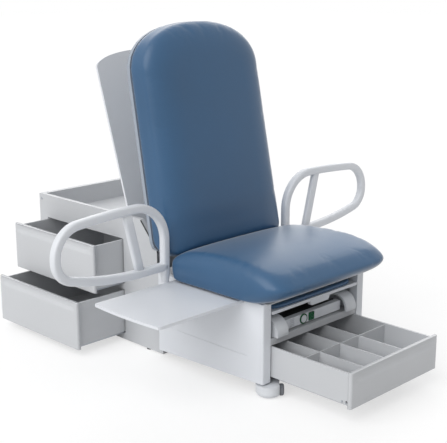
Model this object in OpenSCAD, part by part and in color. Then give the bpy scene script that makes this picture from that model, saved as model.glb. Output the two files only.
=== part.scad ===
// Low treatment and phlebotomy chair with a reclining back and a rear drawer cabinet.
// Millimetres. +Z is up, the sitter faces -Y, and the sitter's right side is -X.
// Rest pose: drawers and side board pulled out, arm loops swung outwards, back upright.

/* [Front body] */
// Gap between the floor and the front of the body
floor_gap = 55; // [50:1:70]
// Width across the side panels
body_w = 610; // [580:1:660]
// Depth of the front body
body_d = 590; // [570:1:620]
// Height of the seat deck's underside
deck_z = 372; // [365:1:400]
// Side panel thickness
panel_t = 14; // [10:1:18]
// How much lower the side panel's rear corner hangs
panel_drop = 19; // [0:1:25]
// Width of a front post
post_w = 44; // [38:1:50]
// Depth of a front post
post_d = 40; // [34:1:46]
// Rounding of the post's outer front edge
post_round = 9; // [4:1:10]
// Thickness of the seat deck
deck_t = 5; // [4:1:8]
// How far the deck carries the cushion in front of the posts
deck_front = 15; // [10:1:20]
// Thickness of the wall behind the front bay
bulkhead_t = 12; // [8:1:16]
// Height of the sill's underside
sill_z = 199; // [190:1:204]
// Height of the sill
sill_h = 27; // [22:1:28]
// Thickness of the bay shelf
shelf_t = 4; // [3:1:6]

/* [Seat cushion] */
// Width of the seat cushion
seat_w = 704; // [640:1:710]
// How far the cushion stands in front of the posts
seat_nose = 118; // [90:1:130]
// How far the cushion runs under the backrest
seat_lap = 25; // [10:1:28]
// Thickness of the seat cushion over its sides
seat_t = 134; // [120:1:146]
// Height at which the cushion is widest
seat_belly = 68; // [50:1:74]
// Rise of the seat's middle above its sides
seat_crown = 8; // [2:1:12]
// How much lower the cushion's front shoulder is
front_fall = 31; // [10:1:36]
// How much lower the cushion's rear shoulder is
rear_fall = 24; // [10:1:30]
// Rounding of the seat's upper edge
seat_edge_r = 52; // [30:1:60]

/* [Backrest] */
// Distance from the backrest's front face to the recline hinge
back_ahead = 110; // [95:1:115]
// Height at which the backrest starts
back_z = 495; // [485:1:520]
// Lean of the backrest in the photographed pose
back_tilt = 11; // [8:1:14]
// Length of the backrest
back_len = 903; // [820:1:960]
// Width of the backrest at its lower end
back_w = 672; // [620:1:676]
// How much narrower the backrest is where its arch starts
back_taper = 22; // [10:1:50]
// Height of the arched top
back_arch = 200; // [160:1:230]
// Thickness of the back cushion
back_t = 126; // [110:1:128]
// Rounding of the back cushion's edge
back_edge = 50; // [30:1:52]
// Crown of the back cushion
back_crown = 14; // [6:1:18]
// Thickness of the backrest's shell
shell_t = 16; // [8:1:18]
// Depth of the steel frame behind the shell
frame_d = 24; // [18:1:28]

/* [Recline] */
// Distance from the recline hinge to the rear of the body
hinge_inset = 30; // [25:1:35]
// Recline hinge, above the floor
hinge_z = 435; // [430:1:440]
// Radius of the recline pins
hinge_r = 8; // [6:1:10]
// Distance from the middle to the frame's arms
frame_x = 164; // [150:1:180]
// Thickness of the frame's arms and the hinge ears
ear_t = 10; // [8:1:12]
// Reach of the actuator lever behind the hinge
lever_y = 90; // [85:1:95]
// Height of the actuator lever's pin above the hinge
lever_z = 10; // [5:1:15]
// Distance from the body to the actuator's lower pivot
drive_gap = 100; // [90:1:110]
// Lower pivot of the actuator, above the floor
drive_z = 120; // [115:1:130]
// Radius of the actuator's tube
drive_r = 24; // [20:1:28]
// Radius of the actuator's rod
rod_r = 9; // [7:1:11]

/* [Rear cabinet] */
// Width across the cabinet's side walls
cab_w = 555; // [540:1:575]
// Depth from the drawers to the outside of the cabinet's rear wall
cab_end = 46; // [44:1:60]
// Height of the cabinet's rim
cab_rim = 567; // [555:1:580]
// Height of the cabinet's underside
cab_foot = 6; // [5:1:10]
// Thickness of the cabinet's side walls
wall_t = 19; // [16:1:22]
// Thickness of the cabinet's rear wall
rear_t = 26; // [20:1:30]
// Depth of the open bay between the body and the cabinet's front wall
bay_d = 206; // [200:1:210]
// Thickness of the cabinet's front wall
front_t = 12; // [10:1:14]
// Thickness of the cabinet's floor
floor_t = 8; // [6:1:10]
// Height of the top tray's surface
tray_z = 480; // [474:1:484]
// Thickness of the top tray
tray_t = 6; // [4:1:8]
// Height of the side wall's front corner under its slanted edge
notch_low = 447; // [420:1:460]
// Run of the slanted edge along the wall
notch_run = 106; // [90:1:115]

/* [Drawers] */
// Thickness of every drawer front
front_plate = 20; // [16:1:24]
// Wall of every drawer box
box_t = 8; // [5:1:10]
// How far the front drawer stands open
front_open = 370; // [300:1:400]
// Width of the front drawer's front
front_w = 540; // [532:1:560]
// Length of the front drawer's box
front_box = 530; // [500:1:540]
// How far the upper side drawer stands open
upper_open = 157; // [120:1:200]
// How far the lower side drawer stands open
lower_open = 251; // [200:1:300]
// Height of a side drawer's front
side_h = 206; // [196:1:208]
// Width of a side drawer's front
side_w = 570; // [560:1:580]
// Length of a side drawer's box
side_box = 478; // [440:1:490]
// Thickness of the front drawer's dividers
divider_t = 4; // [2:1:6]
// Depth of the finger pull pressed into each front
pull_depth = 6; // [3:1:8]

/* [Front bay] */
// Length of the footrest
foot_len = 400; // [350:1:430]
// Width of the footrest
foot_w = 512; // [480:1:518]
// Thickness of the footrest's tray
foot_t = 12; // [8:1:13]
// Thickness of the footrest's pad
pad_t = 17; // [10:1:18]
// Radius of the stirrup cups
cup_r = 58; // [50:1:60]
// Width of the stirrup cups
cup_w = 63; // [50:1:66]
// Distance from the middle to the inner side of a cup
cup_x = 177; // [176:1:180]
// Wall of the stirrup cups
cup_t = 9; // [6:1:12]
// Side of the stirrup bars
bar_side = 22; // [18:1:24]
// Width of the service bar
bar_w = 348; // [330:1:350]
// Height of the service bar
bar_h = 39; // [36:1:40]

/* [Side board] */
// How far the side board stands out from the body
board_out = 432; // [380:1:450]
// Depth of the side board
board_d = 361; // [340:1:363]
// Where the side board starts behind the posts
board_y = 101; // [98:1:110]
// Thickness of the side board
board_t = 11; // [8:1:11]

/* [Arm loops] */
// Radius of the loop's bar
tube_r = 16; // [14:0.5:17]
// Radius of the loop's brace
brace_r = 13; // [11:0.5:15]
// Distance from the backrest's side to the middle of a loop's post
arm_gap = 24; // [20:1:28]
// Distance from the recline hinge forwards to a loop's post
arm_ahead = 81; // [78:1:81]
// Height of the loop's lower bar at its post
arm_z = 433; // [428:1:440]
// Height of the loop's upper bar above its lower bar
loop_h = 258; // [240:1:275]
// Radius of the loop's upper inner bend
loop_bend_r = 150; // [135:1:160]
// Radius of the loop's upper outer bend
loop_end_r = 112; // [100:1:118]
// Radius of the loop's lower outer bend
loop_nose_r = 85; // [75:1:95]
// Reach of the loop from its post to the middle of its outer end
loop_reach_x = 532; // [500:1:545]
// Height of the loop's outer end above its lower bar
loop_end_z = 127; // [120:1:134]
// Turn of the loops forwards in the photographed pose
loop_turn = 1.6; // [0:0.1:3]

/* [Rear shroud] */
// Half the width of the shroud
shroud_half = 252; // [240:1:254]
// Length of the shroud's straight sides
shroud_side = 706; // [660:1:730]
// Height of the shroud's arched top
shroud_arch = 66; // [50:1:80]
// Thickness of the shroud
shroud_t = 10; // [8:1:12]
// Lean of the shroud in the photographed pose
shroud_tilt = 17.4; // [16:0.1:19]

/* [Casters and feet] */
// Height of a caster's hood
hood_h = 49; // [44:1:49]
// Radius of a caster's hood
hood_r = 50; // [44:1:52]
// Radius of a caster's wheel
wheel_r = 23; // [20:1:24]
// Width of a caster's wheel
wheel_w = 16; // [14:1:18]
// Radius of a levelling foot
foot_r = 15; // [12:1:18]

/* [Hidden] */
$fn = 48;

// Clearances shared by every fit
run_gap = 0.05;
soft_gap = 0.3;
slide_gap = 0.3;
cut_over = 2;
side_gap = 14;

// Where the cabinet and the open front drawer end sets the middle of the part's length
front_gap = 0.5;
front_y = -(front_gap + front_open + front_plate);
hinge_y = body_d - hinge_inset;
back_y = hinge_y - back_ahead;
seat_rear = back_y + seat_lap;
arm_x = back_w / 2 + arm_gap;
arm_y = hinge_y - arm_ahead;
drive_y = body_d + drive_gap;
cab_front = body_d + bay_d;
side_y = cab_front + front_t + side_gap;
cab_rear = side_y + side_w + cab_end;
mid_y = (cab_rear + front_y) / 2;

// Front body
panel_x = body_w / 2;
panel_in = panel_x - panel_t;
post_flange = 10;
post_over = 2;
post_in = panel_x + post_over - post_w;
seam_gap = 0.9;
seam_z = 150;
seam_h = 2;
seam_depth = 1;
corner_r = 12;
edge_r = 5;
deck_x = panel_x - 7;
deck_top = deck_z + deck_t;
sill_y = 4;
shelf_z = sill_z + 1;
shelf_top = shelf_z + shelf_t;

// Seat cushion
seat_z = deck_top + soft_gap;
seat_mid_y = (seat_rear - seat_nose) / 2;
seat_half_y = (seat_rear + seat_nose) / 2;
cushion_draw = 14;
seat_foot = 10;
seat_peak_y = 160;
nose_power = 1.5;
fall_power = 2.6;
side_shares = [[1.86, 0], [0.55, 0.03], [0.15, 0.16], [0, 0.36]];
crown_shares = [0.82, 0.6, 0.36, 0.12];
ring_shares = [-1, -0.93, -0.84, -0.7, -0.45, -0.15, 0.15, 0.45, 0.7, 0.84, 0.93];
seat_square = 7;
seat_rear_square = 16;

// Backrest: d is measured behind the front face and s up along it
hinge_d = (hinge_y - back_y) * cos(back_tilt) - (hinge_z - back_z) * sin(back_tilt);
hinge_s = (hinge_y - back_y) * sin(back_tilt) + (hinge_z - back_z) * cos(back_tilt);
back_foot = 30;
shell_foot = 10;
foot_rise = 50;
foot_turn = 50;
arch_power = 2.2;
back_corner = 46;
least_round = 4;
foot_shares = [0.2, 0.6];
back_mid_share = 0.46;
back_mid = (back_len - back_foot) / 2;
back_half_len = (back_len + back_foot) / 2;
shell_d = back_t + soft_gap;
shell_rear = shell_d + shell_t;
shell_inset = 1;
frame_low = 30;
frame_high = 520;
frame_rib = 30;
arm_round = 20;
lever_x = 12;
lever_t = 6;
lever_round = 16;
lever_shares = [[0.8, 0.6], [-0.5, -0.86]];
pin_over = 2;
lever_pin_r = 5.5;
eye_slack = 5;
eye_wall = 5;
eye_w = 20;

// Actuator line from its lower pivot to the lever's pin
lever_dy = hinge_y + lever_y - drive_y;
lever_dz = hinge_z + lever_z - drive_z;
drive_len = sqrt(lever_dy * lever_dy + lever_dz * lever_dz);
drive_lean = atan2(-lever_dy, lever_dz);
drive_tube = 200;
drive_pin_r = 7;
drive_foot = 4;
eye_gap = 2;
motor_gap = 2;
rod_depth = 120;
motor_r = 20;
motor_len = 120;

// Chassis
rail_x = 165;
rail_w = 30;
rail_top = 56;
rail_z = cab_foot + floor_t;
rail_y = 40;
cross_h = 8;
cross_y = 45;
cross_d = 30;
clevis_x = 14;
clevis_t = 8;
clevis_r = 16;
clevis_d = 40;

// Rear cabinet
cab_x = cab_w / 2;
cab_in = cab_x - wall_t;
cab_start = body_d;
notch_y = cab_start + 23;
front_wall_top = tray_z - 2;
bay_back = cab_front + front_t;
rear_in = cab_rear - rear_t;
window_lap = 12;
window_lap_z = 3;
upper_z = 258;
lower_z = 32;
box_set = 7;
box_drop = 8;
slide_rise = 1;
slide_h = 6;
slide_w = 20;
slide_in = 2;
cab_shelf_z = 244;
cab_shelf_t = 8;
side_rest = cab_x + front_gap;

// Front drawer
front_z = 68;
front_h = 137;
drawer_x = 258;
drawer_z = 76;
drawer_h = 121;
drawer_floor = 5;
divider_drop = 6;
divider_shares = [0.184, 0.43, 0.66];
cross_share = 0.413;
screw_r = 4;
screw_h = 2;
screw_shares = [0.026, 0.062];

// Finger pulls
pull_r = 90;
pull_edge = 26;
pull_side = 22;

// Front bay
foot_z = 323;
foot_front = 2;
lobe_h = 18;
lobe_x = 21;
lobe_w = 118;
lobe_r = 14;
lip_t = 14;
pad_inset = 8;
pad_round = 7;
pad_crown = 3;
pad_square = 10;
rest_rail_x = 240;
rest_rail_h = 9.7;
cup_y = 44;
cup_z = 238;
cup_base = sill_z + sill_h + 2;
bar_y = 88;
bar_rest = 82;
bar_len = body_d - bar_y - bar_rest;
bar_z = cup_z + 5;
guide_t = 7;
guide_len = 60;
guide_y = 160;
guide_far = bar_y + bar_len - guide_len - guide_t;
bar_front = 16;
box_front = post_d + 1;
service_z = 234;
power_w = 300;
power_d = 200;
power_top = 268;
vent_x = -124;
vent_w = 30;
vent_h = 3;
vent_step = 7;
vent_count = 5;
vent_depth = 4;
button_x = -57;
button_r = 15;
ring_r = 21;
ring_t = 3;
button_travel = 3;
button_stand = 5;
switch_x = -10;
switch_w = 30;
switch_h = 32;
switch_stand = 4;
switch_pin_r = 2;
rocker_gap = 1.2;
button_hole = 12;
face_z = service_z + bar_h / 2;
switch_y = bar_front + (button_hole - switch_stand) / 2;

// Side board
board_lip = 4.2;
board_top = deck_z - 1.5;
board_z = board_top - board_t;
board_in = 56;
board_round = 24;
board_bow = 9;
board_rail_w = 9;
board_rail_x = 270;
board_slot = 2;

// Arm loops
arm_pin_r = 11;
socket_r = 20;
socket_z = 295;
socket_top = 345;
arm_pin_z = 300;
brace_top_x = 198;
brace_foot_x = 132;
sleeve_wall = 0.5;
sleeve_r = tube_r + sleeve_wall;
sleeve_lap = 3;
loop_low_x = 120;
loop_join = 8;
loop_steps = 160;
bar_steps = 24;
bracket_t = 4;
bracket_w = 50;
bracket_rib = 18;

// Rear shroud
shroud_y = cab_front + front_t / 2;
shroud_z = tray_z + 16;
knuckle_r = 9;
shroud_pin_r = 4;
knuckle_shares = [-0.8, 0, 0.8];
bracket_shares = [-0.5, 0.5];
knuckle_len = 60;
shroud_foot = 12;

// Casters and feet
caster_x = (post_in + panel_in) / 2;
caster_y = 22;
trail_x = 15;
trail_y = -14;
axle_turn = -135;
stem_r = 6;
stem_len = 34;
hood_flat = 30;
hood_lift = 2;
hood_wall_z = hood_lift + hood_r - hood_flat;
hood_cut = 40;
wheel_gap = 2;
axle_r = 4;
axle_inset = 5;
foot_back = 100;
foot_y = body_d + foot_back;
foot_end = 38;
foot_set = 16;

// Colours seen on the object
shell_white = [0.86, 0.87, 0.88];
panel_grey = [0.80, 0.81, 0.83];
steel_grey = [0.62, 0.64, 0.67];
dark_grey = [0.22, 0.23, 0.25];
vinyl_blue = [0.27, 0.38, 0.52];
spot_green = [0.05, 0.35, 0.16];

// Moves a piece from the posts' front plane to the part's own origin
module placed() {
    translate([0, -mid_y, 0]) children();
}

// Draws a piece on the sitter's left (1) or right (-1)
module on_side(side) {
    if (side < 0) mirror([1, 0, 0]) children();
    else children();
}

// Box from its low corner to its high corner
module block(low, high) {
    translate(low) cube(high - low);
}

// Flat outline with round corners, from its low corner
module round_plate(w, h, r) {
    translate([r, 0]) square([w - 2 * r, h]);
    translate([0, r]) square([w, h - 2 * r]);
    for (x = [r, w - r], y = [r, h - r]) translate([x, y]) circle(r);
}

// Extrudes an outline drawn in Y and Z along X
module along_x(from, to) {
    translate([from, 0, 0]) rotate([90, 0, 90]) linear_extrude(to - from) children();
}

// Round bar along X
module pin_x(from, to, y, z, r) {
    translate([from, y, z]) rotate([0, 90, 0]) cylinder(r = r, h = to - from);
}

// Puts a piece into the backrest's own frame: y is depth behind its face, z runs up it
module on_back() {
    translate([0, back_y, back_z]) rotate([-back_tilt, 0, 0]) children();
}

// Middle of a ring of points
function ring_middle(ring) = [for (p = ring) 1] * ring / len(ring);

// Closed skin over rings of points, each ring with the same count
module skin(rings) {
    n = len(rings[0]);
    last = len(rings) - 1;
    count = n * (last + 1);
    points = concat([for (ring = rings, p = ring) p],
        [ring_middle(rings[0]), ring_middle(rings[last])]);
    sides = [for (k = [0:last - 1], i = [0:n - 1], half = [0, 1])
        let (a = k * n + i, b = k * n + (i + 1) % n)
        half == 0 ? [a, b + n, b] : [a, a + n, b + n]];
    foot = [for (i = [0:n - 1]) [count, i, (i + 1) % n]];
    top = [for (i = [0:n - 1]) [count + 1, last * n + (i + 1) % n, last * n + i]];
    polyhedron(points = points, faces = concat(sides, foot, top), convexity = 4);
}

// Steps of a cushion's section: how far each ring is drawn in, and its height
function section_side(t) = [for (p = side_shares) [cushion_draw * p[0], t * p[1]]];
function section_edge(t, edge, steps) = [for (k = [1:steps])
    let (a = 90 * k / steps)
    [edge * (1 - cos(a)), t - edge + edge * sin(a)]];

// Height of a crown, as a share, at shares of both half sizes from its middle
function bump(u, v) = max(0, 1 - u * u) * max(0, 1 - v * v);

// Outline of a rounded square with half sizes a and b, and a power for its front and its rear
function square_ring(a, b, front, rear) = [for (side = [0:3], t = ring_shares)
    let (c = cos(90 * side), s = sin(90 * side), x = c - s * t, y = s + c * t,
         power = y > 0 ? rear : front, r = pow(1 + pow(abs(t), power), -1 / power))
    [a * r * x, b * r * y]];

// Ring of a level pad at height z, with its share of the crown added
function level_ring(a, b, half_a, half_b, mid, power, z, crown) =
    [for (p = square_ring(a, b, power, power))
        [p[0], mid + p[1], z + crown * bump(p[0] / half_a, p[1] / half_b)]];

// Rings of a level pad from its underside to its crown
function level_rings(half_a, half_b, mid, power, z, t, edge, crown, side, steps) = concat(
    [for (p = side) level_ring(half_a - p[0], half_b - p[0], half_a, half_b, mid, power,
        z + p[1], 0)],
    [for (p = section_edge(t, edge, steps)) level_ring(half_a - p[0], half_b - p[0], half_a,
        half_b, mid, power, z + p[1], crown)],
    [for (f = crown_shares) level_ring((half_a - edge) * f, (half_b - edge) * f, half_a,
        half_b, mid, power, z + t, crown)]
);

// Height of the seat's top over its underside: highest at its peak, lower to front and rear
function seat_fall(y) = y < seat_peak_y
    ? front_fall * pow((seat_peak_y - y) / (seat_peak_y + seat_nose - seat_edge_r), fall_power)
    : rear_fall * pow((y - seat_peak_y) / (seat_rear - seat_edge_r - seat_peak_y), 2);
function seat_top(x, y) = seat_t + seat_crown * max(0, 1 - pow(2 * x / seat_w, 2))
    - seat_fall(y);

// Ring of the seat below its belly: the sides turn in a little, the nose rises from the posts
function seat_low_ring(p) =
    let (side = seat_foot * (1 - sqrt(1 - p * p)),
         front = seat_nose * (1 - pow(1 - pow(p, nose_power), 1 / nose_power)),
         half_y = (seat_rear - side + seat_nose - front) / 2,
         mid = (seat_rear - side - seat_nose + front) / 2)
    [for (q = square_ring(seat_w / 2 - side, half_y, seat_square, seat_rear_square))
        [q[0], mid + q[1], seat_z + seat_belly * (1 - p)]];

// Ring of the seat's upper edge, turned through angle a, or of its top at share f
function seat_high_ring(a, f) =
    let (d = seat_edge_r * (1 - cos(a)))
    [for (q = square_ring((seat_w / 2 - d) * f, (seat_half_y - d) * f, seat_square,
            seat_rear_square))
        let (y = seat_mid_y + q[1])
        [q[0], y, seat_z + seat_belly + (seat_top(q[0], y) - seat_belly) * sin(a)]];

module seat_cushion() {
    color(vinyl_blue) placed() skin(concat(
        [for (a = [0, 25, 50, 75]) seat_low_ring(cos(a))],
        [for (a = [0:15:90]) seat_high_ring(a, 1)],
        [for (f = crown_shares) seat_high_ring(90, f)]
    ));
}

// Half width of the backrest at height s
function back_half(s) = back_w / 2 - back_taper / 2 * max(0, s) / (back_len - back_arch);

// Outline of the backrest, drawn in by d: foot corners, sides and an elliptical arch
function back_side(d, foot) =
    let (r = max(back_corner - d, least_round), low = d - foot, high = back_len - back_arch,
         w = back_half(0) - d, wt = back_half(high) - d, b = back_arch - d, e = 2 / arch_power)
    concat(
        [for (f = foot_shares) [(w - r) * f, low]],
        [for (a = [0:30:90]) [w - r + r * sin(a), low + r - r * cos(a)]],
        [for (k = [1:3]) let (s = low + r + (high - low - r) * k / 4) [back_half(s) - d, s]],
        [for (a = [0:10:80]) [wt * pow(cos(a), e), high + b * pow(sin(a), e)]],
        [[wt * pow(cos(86), e), high + b * pow(sin(86), e)]]
    );
function back_outline(d, foot) =
    let (side = back_side(d, foot), n = len(side))
    concat(side, [for (i = [n - 1:-1:0]) [-side[i][0], side[i][1]]]);

// Point of the back cushion's face at x and s, with its share of the crown taken forwards
function back_point(x, depth, s, crown) =
    [x, depth - crown * bump(x / back_half(s), (s - back_mid) / back_half_len), s];

// How much of the foot the cushion keeps at a depth: its lower rear edge is turned up
function back_foot_at(depth) =
    let (q = max(0, depth - foot_turn) / (back_t - foot_turn))
    back_foot - foot_rise * (1 - sqrt(1 - q * q));
function back_ring(d, depth, crown) =
    [for (p = back_outline(d, back_foot_at(depth))) back_point(p[0], depth, p[1], crown)];

module backrest_cushion() {
    mid = back_len * back_mid_share;
    rings = concat(
        [for (p = section_side(back_t)) back_ring(p[0], back_t - p[1], 0)],
        [for (p = section_edge(back_t, back_edge, 6)) back_ring(p[0], back_t - p[1], back_crown)],
        [for (f = crown_shares) [for (p = back_outline(back_edge, back_foot))
            back_point(p[0] * f, 0, mid + (p[1] - mid) * f, back_crown)]]
    );
    color(vinyl_blue) placed() on_back() skin(rings);
}

// Outline of the backrest's shell as one flat shape
module shell_outline(d) {
    polygon(back_outline(d, shell_foot));
}

module backrest_shell() {
    color(shell_white) placed() on_back()
        translate([0, shell_rear, 0]) rotate([90, 0, 0]) linear_extrude(shell_t)
            shell_outline(shell_inset);
}

// Side view of a frame arm, in depth and height of the backrest
module arm_outline() {
    difference() {
        union() {
            translate([shell_rear, frame_low]) square([frame_d, frame_high - frame_low]);
            translate([hinge_d, hinge_s]) circle(arm_round);
            polygon([
                [hinge_d - arm_round, hinge_s],
                [hinge_d + arm_round, hinge_s - arm_round / 2],
                [shell_rear + frame_d, frame_low + frame_rib],
                [shell_rear + slide_gap, frame_low + frame_rib],
                [shell_rear + slide_gap, -shell_foot],
                [hinge_d, hinge_s + arm_round]
            ]);
        }
        translate([hinge_d, hinge_s]) circle(hinge_r + run_gap);
    }
}

// Lever lug that the actuator's pin passes through, in the chair's own frame
function on_chair(d, s) = [
    back_y + d * cos(back_tilt) + s * sin(back_tilt),
    back_z - d * sin(back_tilt) + s * cos(back_tilt)
];
module lever_outline() {
    tip = [hinge_y + lever_y, hinge_z + lever_z];
    translate(tip) circle(lever_round);
    polygon([
        on_chair(shell_rear, frame_low),
        on_chair(shell_rear + frame_d, frame_low + frame_rib),
        tip + lever_round * lever_shares[0],
        tip + lever_round * lever_shares[1]
    ]);
}

module backrest_frame() {
    color(steel_grey) placed() {
        on_back() {
            for (side = [-1, 1]) on_side(side) along_x(frame_x, frame_x + ear_t) arm_outline();
            for (s = [frame_low, frame_high - frame_rib])
                block([-frame_x, shell_rear, s], [frame_x, shell_rear + frame_d, s + frame_rib]);
        }
        for (side = [-1, 1]) on_side(side)
            along_x(lever_x, lever_x + lever_t) lever_outline();
        pin_x(-lever_x - lever_t, lever_x + lever_t, hinge_y + lever_y, hinge_z + lever_z,
            lever_pin_r);
    }
}

// Ears that carry the backrest, standing on the seat deck
module recline_brackets() {
    color(steel_grey) placed() for (side = [-1, 1]) on_side(side) {
        difference() {
            along_x(frame_x - slide_gap - ear_t, frame_x - slide_gap) union() {
                translate([hinge_y, hinge_z]) circle(arm_round);
                translate([hinge_y - arm_round, deck_top])
                    square([2 * arm_round, hinge_z - deck_top]);
            }
            pin_x(0, frame_x + ear_t, hinge_y, hinge_z, hinge_r + run_gap);
        }
        block([frame_x - slide_gap - 3 * ear_t, hinge_y - arm_round, deck_top],
            [frame_x - slide_gap - ear_t, hinge_y + arm_round, deck_top + ear_t / 2]);
    }
}

// Pins that stay with the base: recline, actuator foot and shroud hinge
module pivot_pins() {
    color(steel_grey) placed() {
        for (side = [-1, 1]) on_side(side)
            pin_x(frame_x - slide_gap - ear_t - pin_over, frame_x + ear_t + pin_over,
                hinge_y, hinge_z, hinge_r);
        pin_x(-clevis_x - clevis_t, clevis_x + clevis_t, drive_y, drive_z, drive_pin_r);
        pin_x(-shroud_half + shroud_foot, shroud_half - shroud_foot, shroud_y, shroud_z,
            shroud_pin_r);
    }
}

module chassis_frame() {
    color(dark_grey) placed() {
        for (side = [-1, 1]) on_side(side)
            block([rail_x, rail_y, rail_z], [rail_x + rail_w, cab_front, rail_top]);
        for (y = [cross_y, body_d - bulkhead_t - cross_d])
            block([-panel_in, y, rail_top], [panel_in, y + cross_d, rail_top + cross_h]);
        block([-rail_x, drive_y - clevis_d / 2, rail_z + cross_h],
            [rail_x, drive_y + clevis_d / 2, rail_top]);
        for (side = [-1, 1]) on_side(side) difference() {
            along_x(clevis_x, clevis_x + clevis_t) union() {
                translate([drive_y, drive_z]) circle(clevis_r);
                translate([drive_y - clevis_r, rail_top])
                    square([2 * clevis_r, drive_z - rail_top]);
            }
            pin_x(0, clevis_x + 2 * clevis_t, drive_y, drive_z, drive_pin_r + run_gap);
        }
    }
}

// Plan of a side panel with its front and rear edges rounded
module panel_plan() {
    y = post_flange + seam_gap;
    translate([panel_in, y + edge_r]) square([panel_t, body_d - corner_r - y - edge_r]);
    translate([panel_in, y]) square([panel_t - edge_r, panel_t]);
    translate([panel_x - edge_r, y + edge_r]) circle(edge_r);
    translate([panel_in, y + edge_r]) square([panel_t - corner_r, body_d - y - edge_r]);
    intersection() {
        translate([panel_x - corner_r, body_d - corner_r]) circle(corner_r);
        translate([panel_in, y]) square([panel_t, body_d - y]);
    }
}

module side_panel() {
    difference() {
        intersection() {
            linear_extrude(deck_z) panel_plan();
            along_x(panel_in - cut_over, panel_x + cut_over) polygon([
                [0, floor_gap],
                [body_d, floor_gap - panel_drop],
                [body_d, deck_z],
                [0, deck_z]
            ]);
        }
        block([panel_x - seam_depth, 2 * post_d, seam_z],
            [panel_x + cut_over, body_d + cut_over, seam_z + seam_h]);
    }
}

module side_panel_right() {
    color(shell_white) placed() difference() {
        on_side(-1) side_panel();
        block([-panel_x - cut_over, board_y - board_slot, board_z - slide_gap],
            [-panel_in + cut_over, board_y + board_d + board_slot, deck_z + cut_over]);
    }
}

module side_panel_left() {
    color(shell_white) placed() side_panel();
}

module front_posts() {
    outer = panel_x + post_over;
    color(shell_white) placed() for (side = [-1, 1]) on_side(side) difference() {
        translate([0, 0, floor_gap]) linear_extrude(deck_z - floor_gap) union() {
            translate([post_in, 0]) square([panel_in - post_in, post_d]);
            translate([post_in, 0]) square([post_w - post_round, post_flange]);
            translate([post_in, post_round]) square([post_w, post_flange - post_round]);
            translate([outer - post_round, post_round]) intersection() {
                circle(post_round);
                translate([-post_round, -post_round]) square([2 * post_round, post_round]);
            }
        }
        translate([caster_x, caster_y, floor_gap - cut_over])
            cylinder(r = stem_r + run_gap, h = stem_len + cut_over);
    }
}

module sill_rail() {
    color(panel_grey) placed() block([-post_in, sill_y, sill_z], [post_in, post_d, sill_z + sill_h]);
}

module bay_shelf() {
    color(panel_grey) placed()
        block([-panel_in, post_d, shelf_z], [panel_in, body_d - bulkhead_t, shelf_top]);
}

module rear_bulkhead() {
    color(panel_grey) placed()
        block([-panel_in, body_d - bulkhead_t, rail_top], [panel_in, body_d, deck_z]);
}

module seat_deck() {
    color(panel_grey) placed() block([-deck_x, -deck_front, deck_z], [deck_x, body_d, deck_top]);
}

module footrest_rails() {
    color(steel_grey) placed() for (side = [-1, 1]) on_side(side)
        block([rest_rail_x, post_d + slide_in, foot_z - slide_gap - rest_rail_h],
            [panel_in, body_d - bulkhead_t, foot_z - slide_gap]);
}

module front_drawer_rails() {
    y = body_d - bulkhead_t;
    color(steel_grey) placed() for (side = [-1, 1]) on_side(side)
        block([drawer_x - box_t - slide_w, cross_y, rail_top + cross_h],
            [drawer_x - box_t, y, drawer_z - slide_h - slide_gap]);
}

module board_rails() {
    low = board_z - slide_gap - board_lip;
    far = board_y + board_d;
    color(steel_grey) placed() {
        block([-panel_in, board_y - slide_gap - board_rail_w, low],
            [board_rail_x, board_y - slide_gap, deck_z]);
        block([-panel_in, board_y - slide_gap, low],
            [board_rail_x, board_y + board_rail_w, low + board_lip]);
        block([-panel_in, far + slide_gap, low],
            [board_rail_x, far + slide_gap + board_rail_w, deck_z]);
        block([-panel_in, far - board_rail_w, low],
            [board_rail_x, far + slide_gap, low + board_lip]);
    }
}

// Sleeves that the stirrup bars slide in
module stirrup_guides() {
    x = cup_x + cup_w / 2;
    half = bar_side / 2;
    color(steel_grey) placed() for (side = [-1, 1]) on_side(side)
        for (y = [guide_y, guide_far]) difference() {
            block([x - half - guide_t, y, shelf_top], [x + half + guide_t, y + guide_len,
                bar_z + half + guide_t]);
            block([x - half - slide_gap, y - cut_over, bar_z - half - slide_gap],
                [x + half + slide_gap, y + guide_len + cut_over, bar_z + half + slide_gap]);
        }
}

module service_bar() {
    depth = button_hole + button_travel + slide_gap;
    color(shell_white) placed() difference() {
        block([-bar_w / 2, bar_front, service_z], [bar_w / 2, box_front, service_z + bar_h]);
        for (k = [0:vent_count - 1]) block(
            [vent_x - vent_w / 2, bar_front - cut_over,
                face_z + (k - (vent_count - 1) / 2) * vent_step - vent_h / 2],
            [vent_x + vent_w / 2, bar_front + vent_depth,
                face_z + (k - (vent_count - 1) / 2) * vent_step + vent_h / 2]);
        translate([button_x, bar_front + depth, face_z]) rotate([90, 0, 0])
            cylinder(r = button_r + slide_gap, h = depth + cut_over);
        block([switch_x - switch_w / 2 - slide_gap, bar_front - cut_over,
                face_z - switch_h / 2 - rocker_gap],
            [switch_x + switch_w / 2 + slide_gap, bar_front + depth,
                face_z + switch_h / 2 + rocker_gap]);
        pin_x(switch_x - switch_w / 2 - pin_over - slide_gap,
            switch_x + switch_w / 2 + pin_over + slide_gap, switch_y, face_z,
            switch_pin_r + run_gap);
    }
}

module power_box() {
    color(dark_grey) placed() block([-power_w / 2, box_front, shelf_top],
        [power_w / 2, box_front + power_d, power_top]);
}

module power_button() {
    color(shell_white) placed() translate([button_x, bar_front + button_hole, face_z])
        rotate([90, 0, 0]) cylinder(r = button_r, h = button_hole + button_stand);
}

module power_switch() {
    color(spot_green) placed() {
        block([switch_x - switch_w / 2, bar_front - switch_stand, face_z - switch_h / 2],
            [switch_x + switch_w / 2, bar_front + button_hole, face_z + switch_h / 2]);
        pin_x(switch_x - switch_w / 2 - pin_over, switch_x + switch_w / 2 + pin_over,
            switch_y, face_z, switch_pin_r);
    }
}

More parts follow.
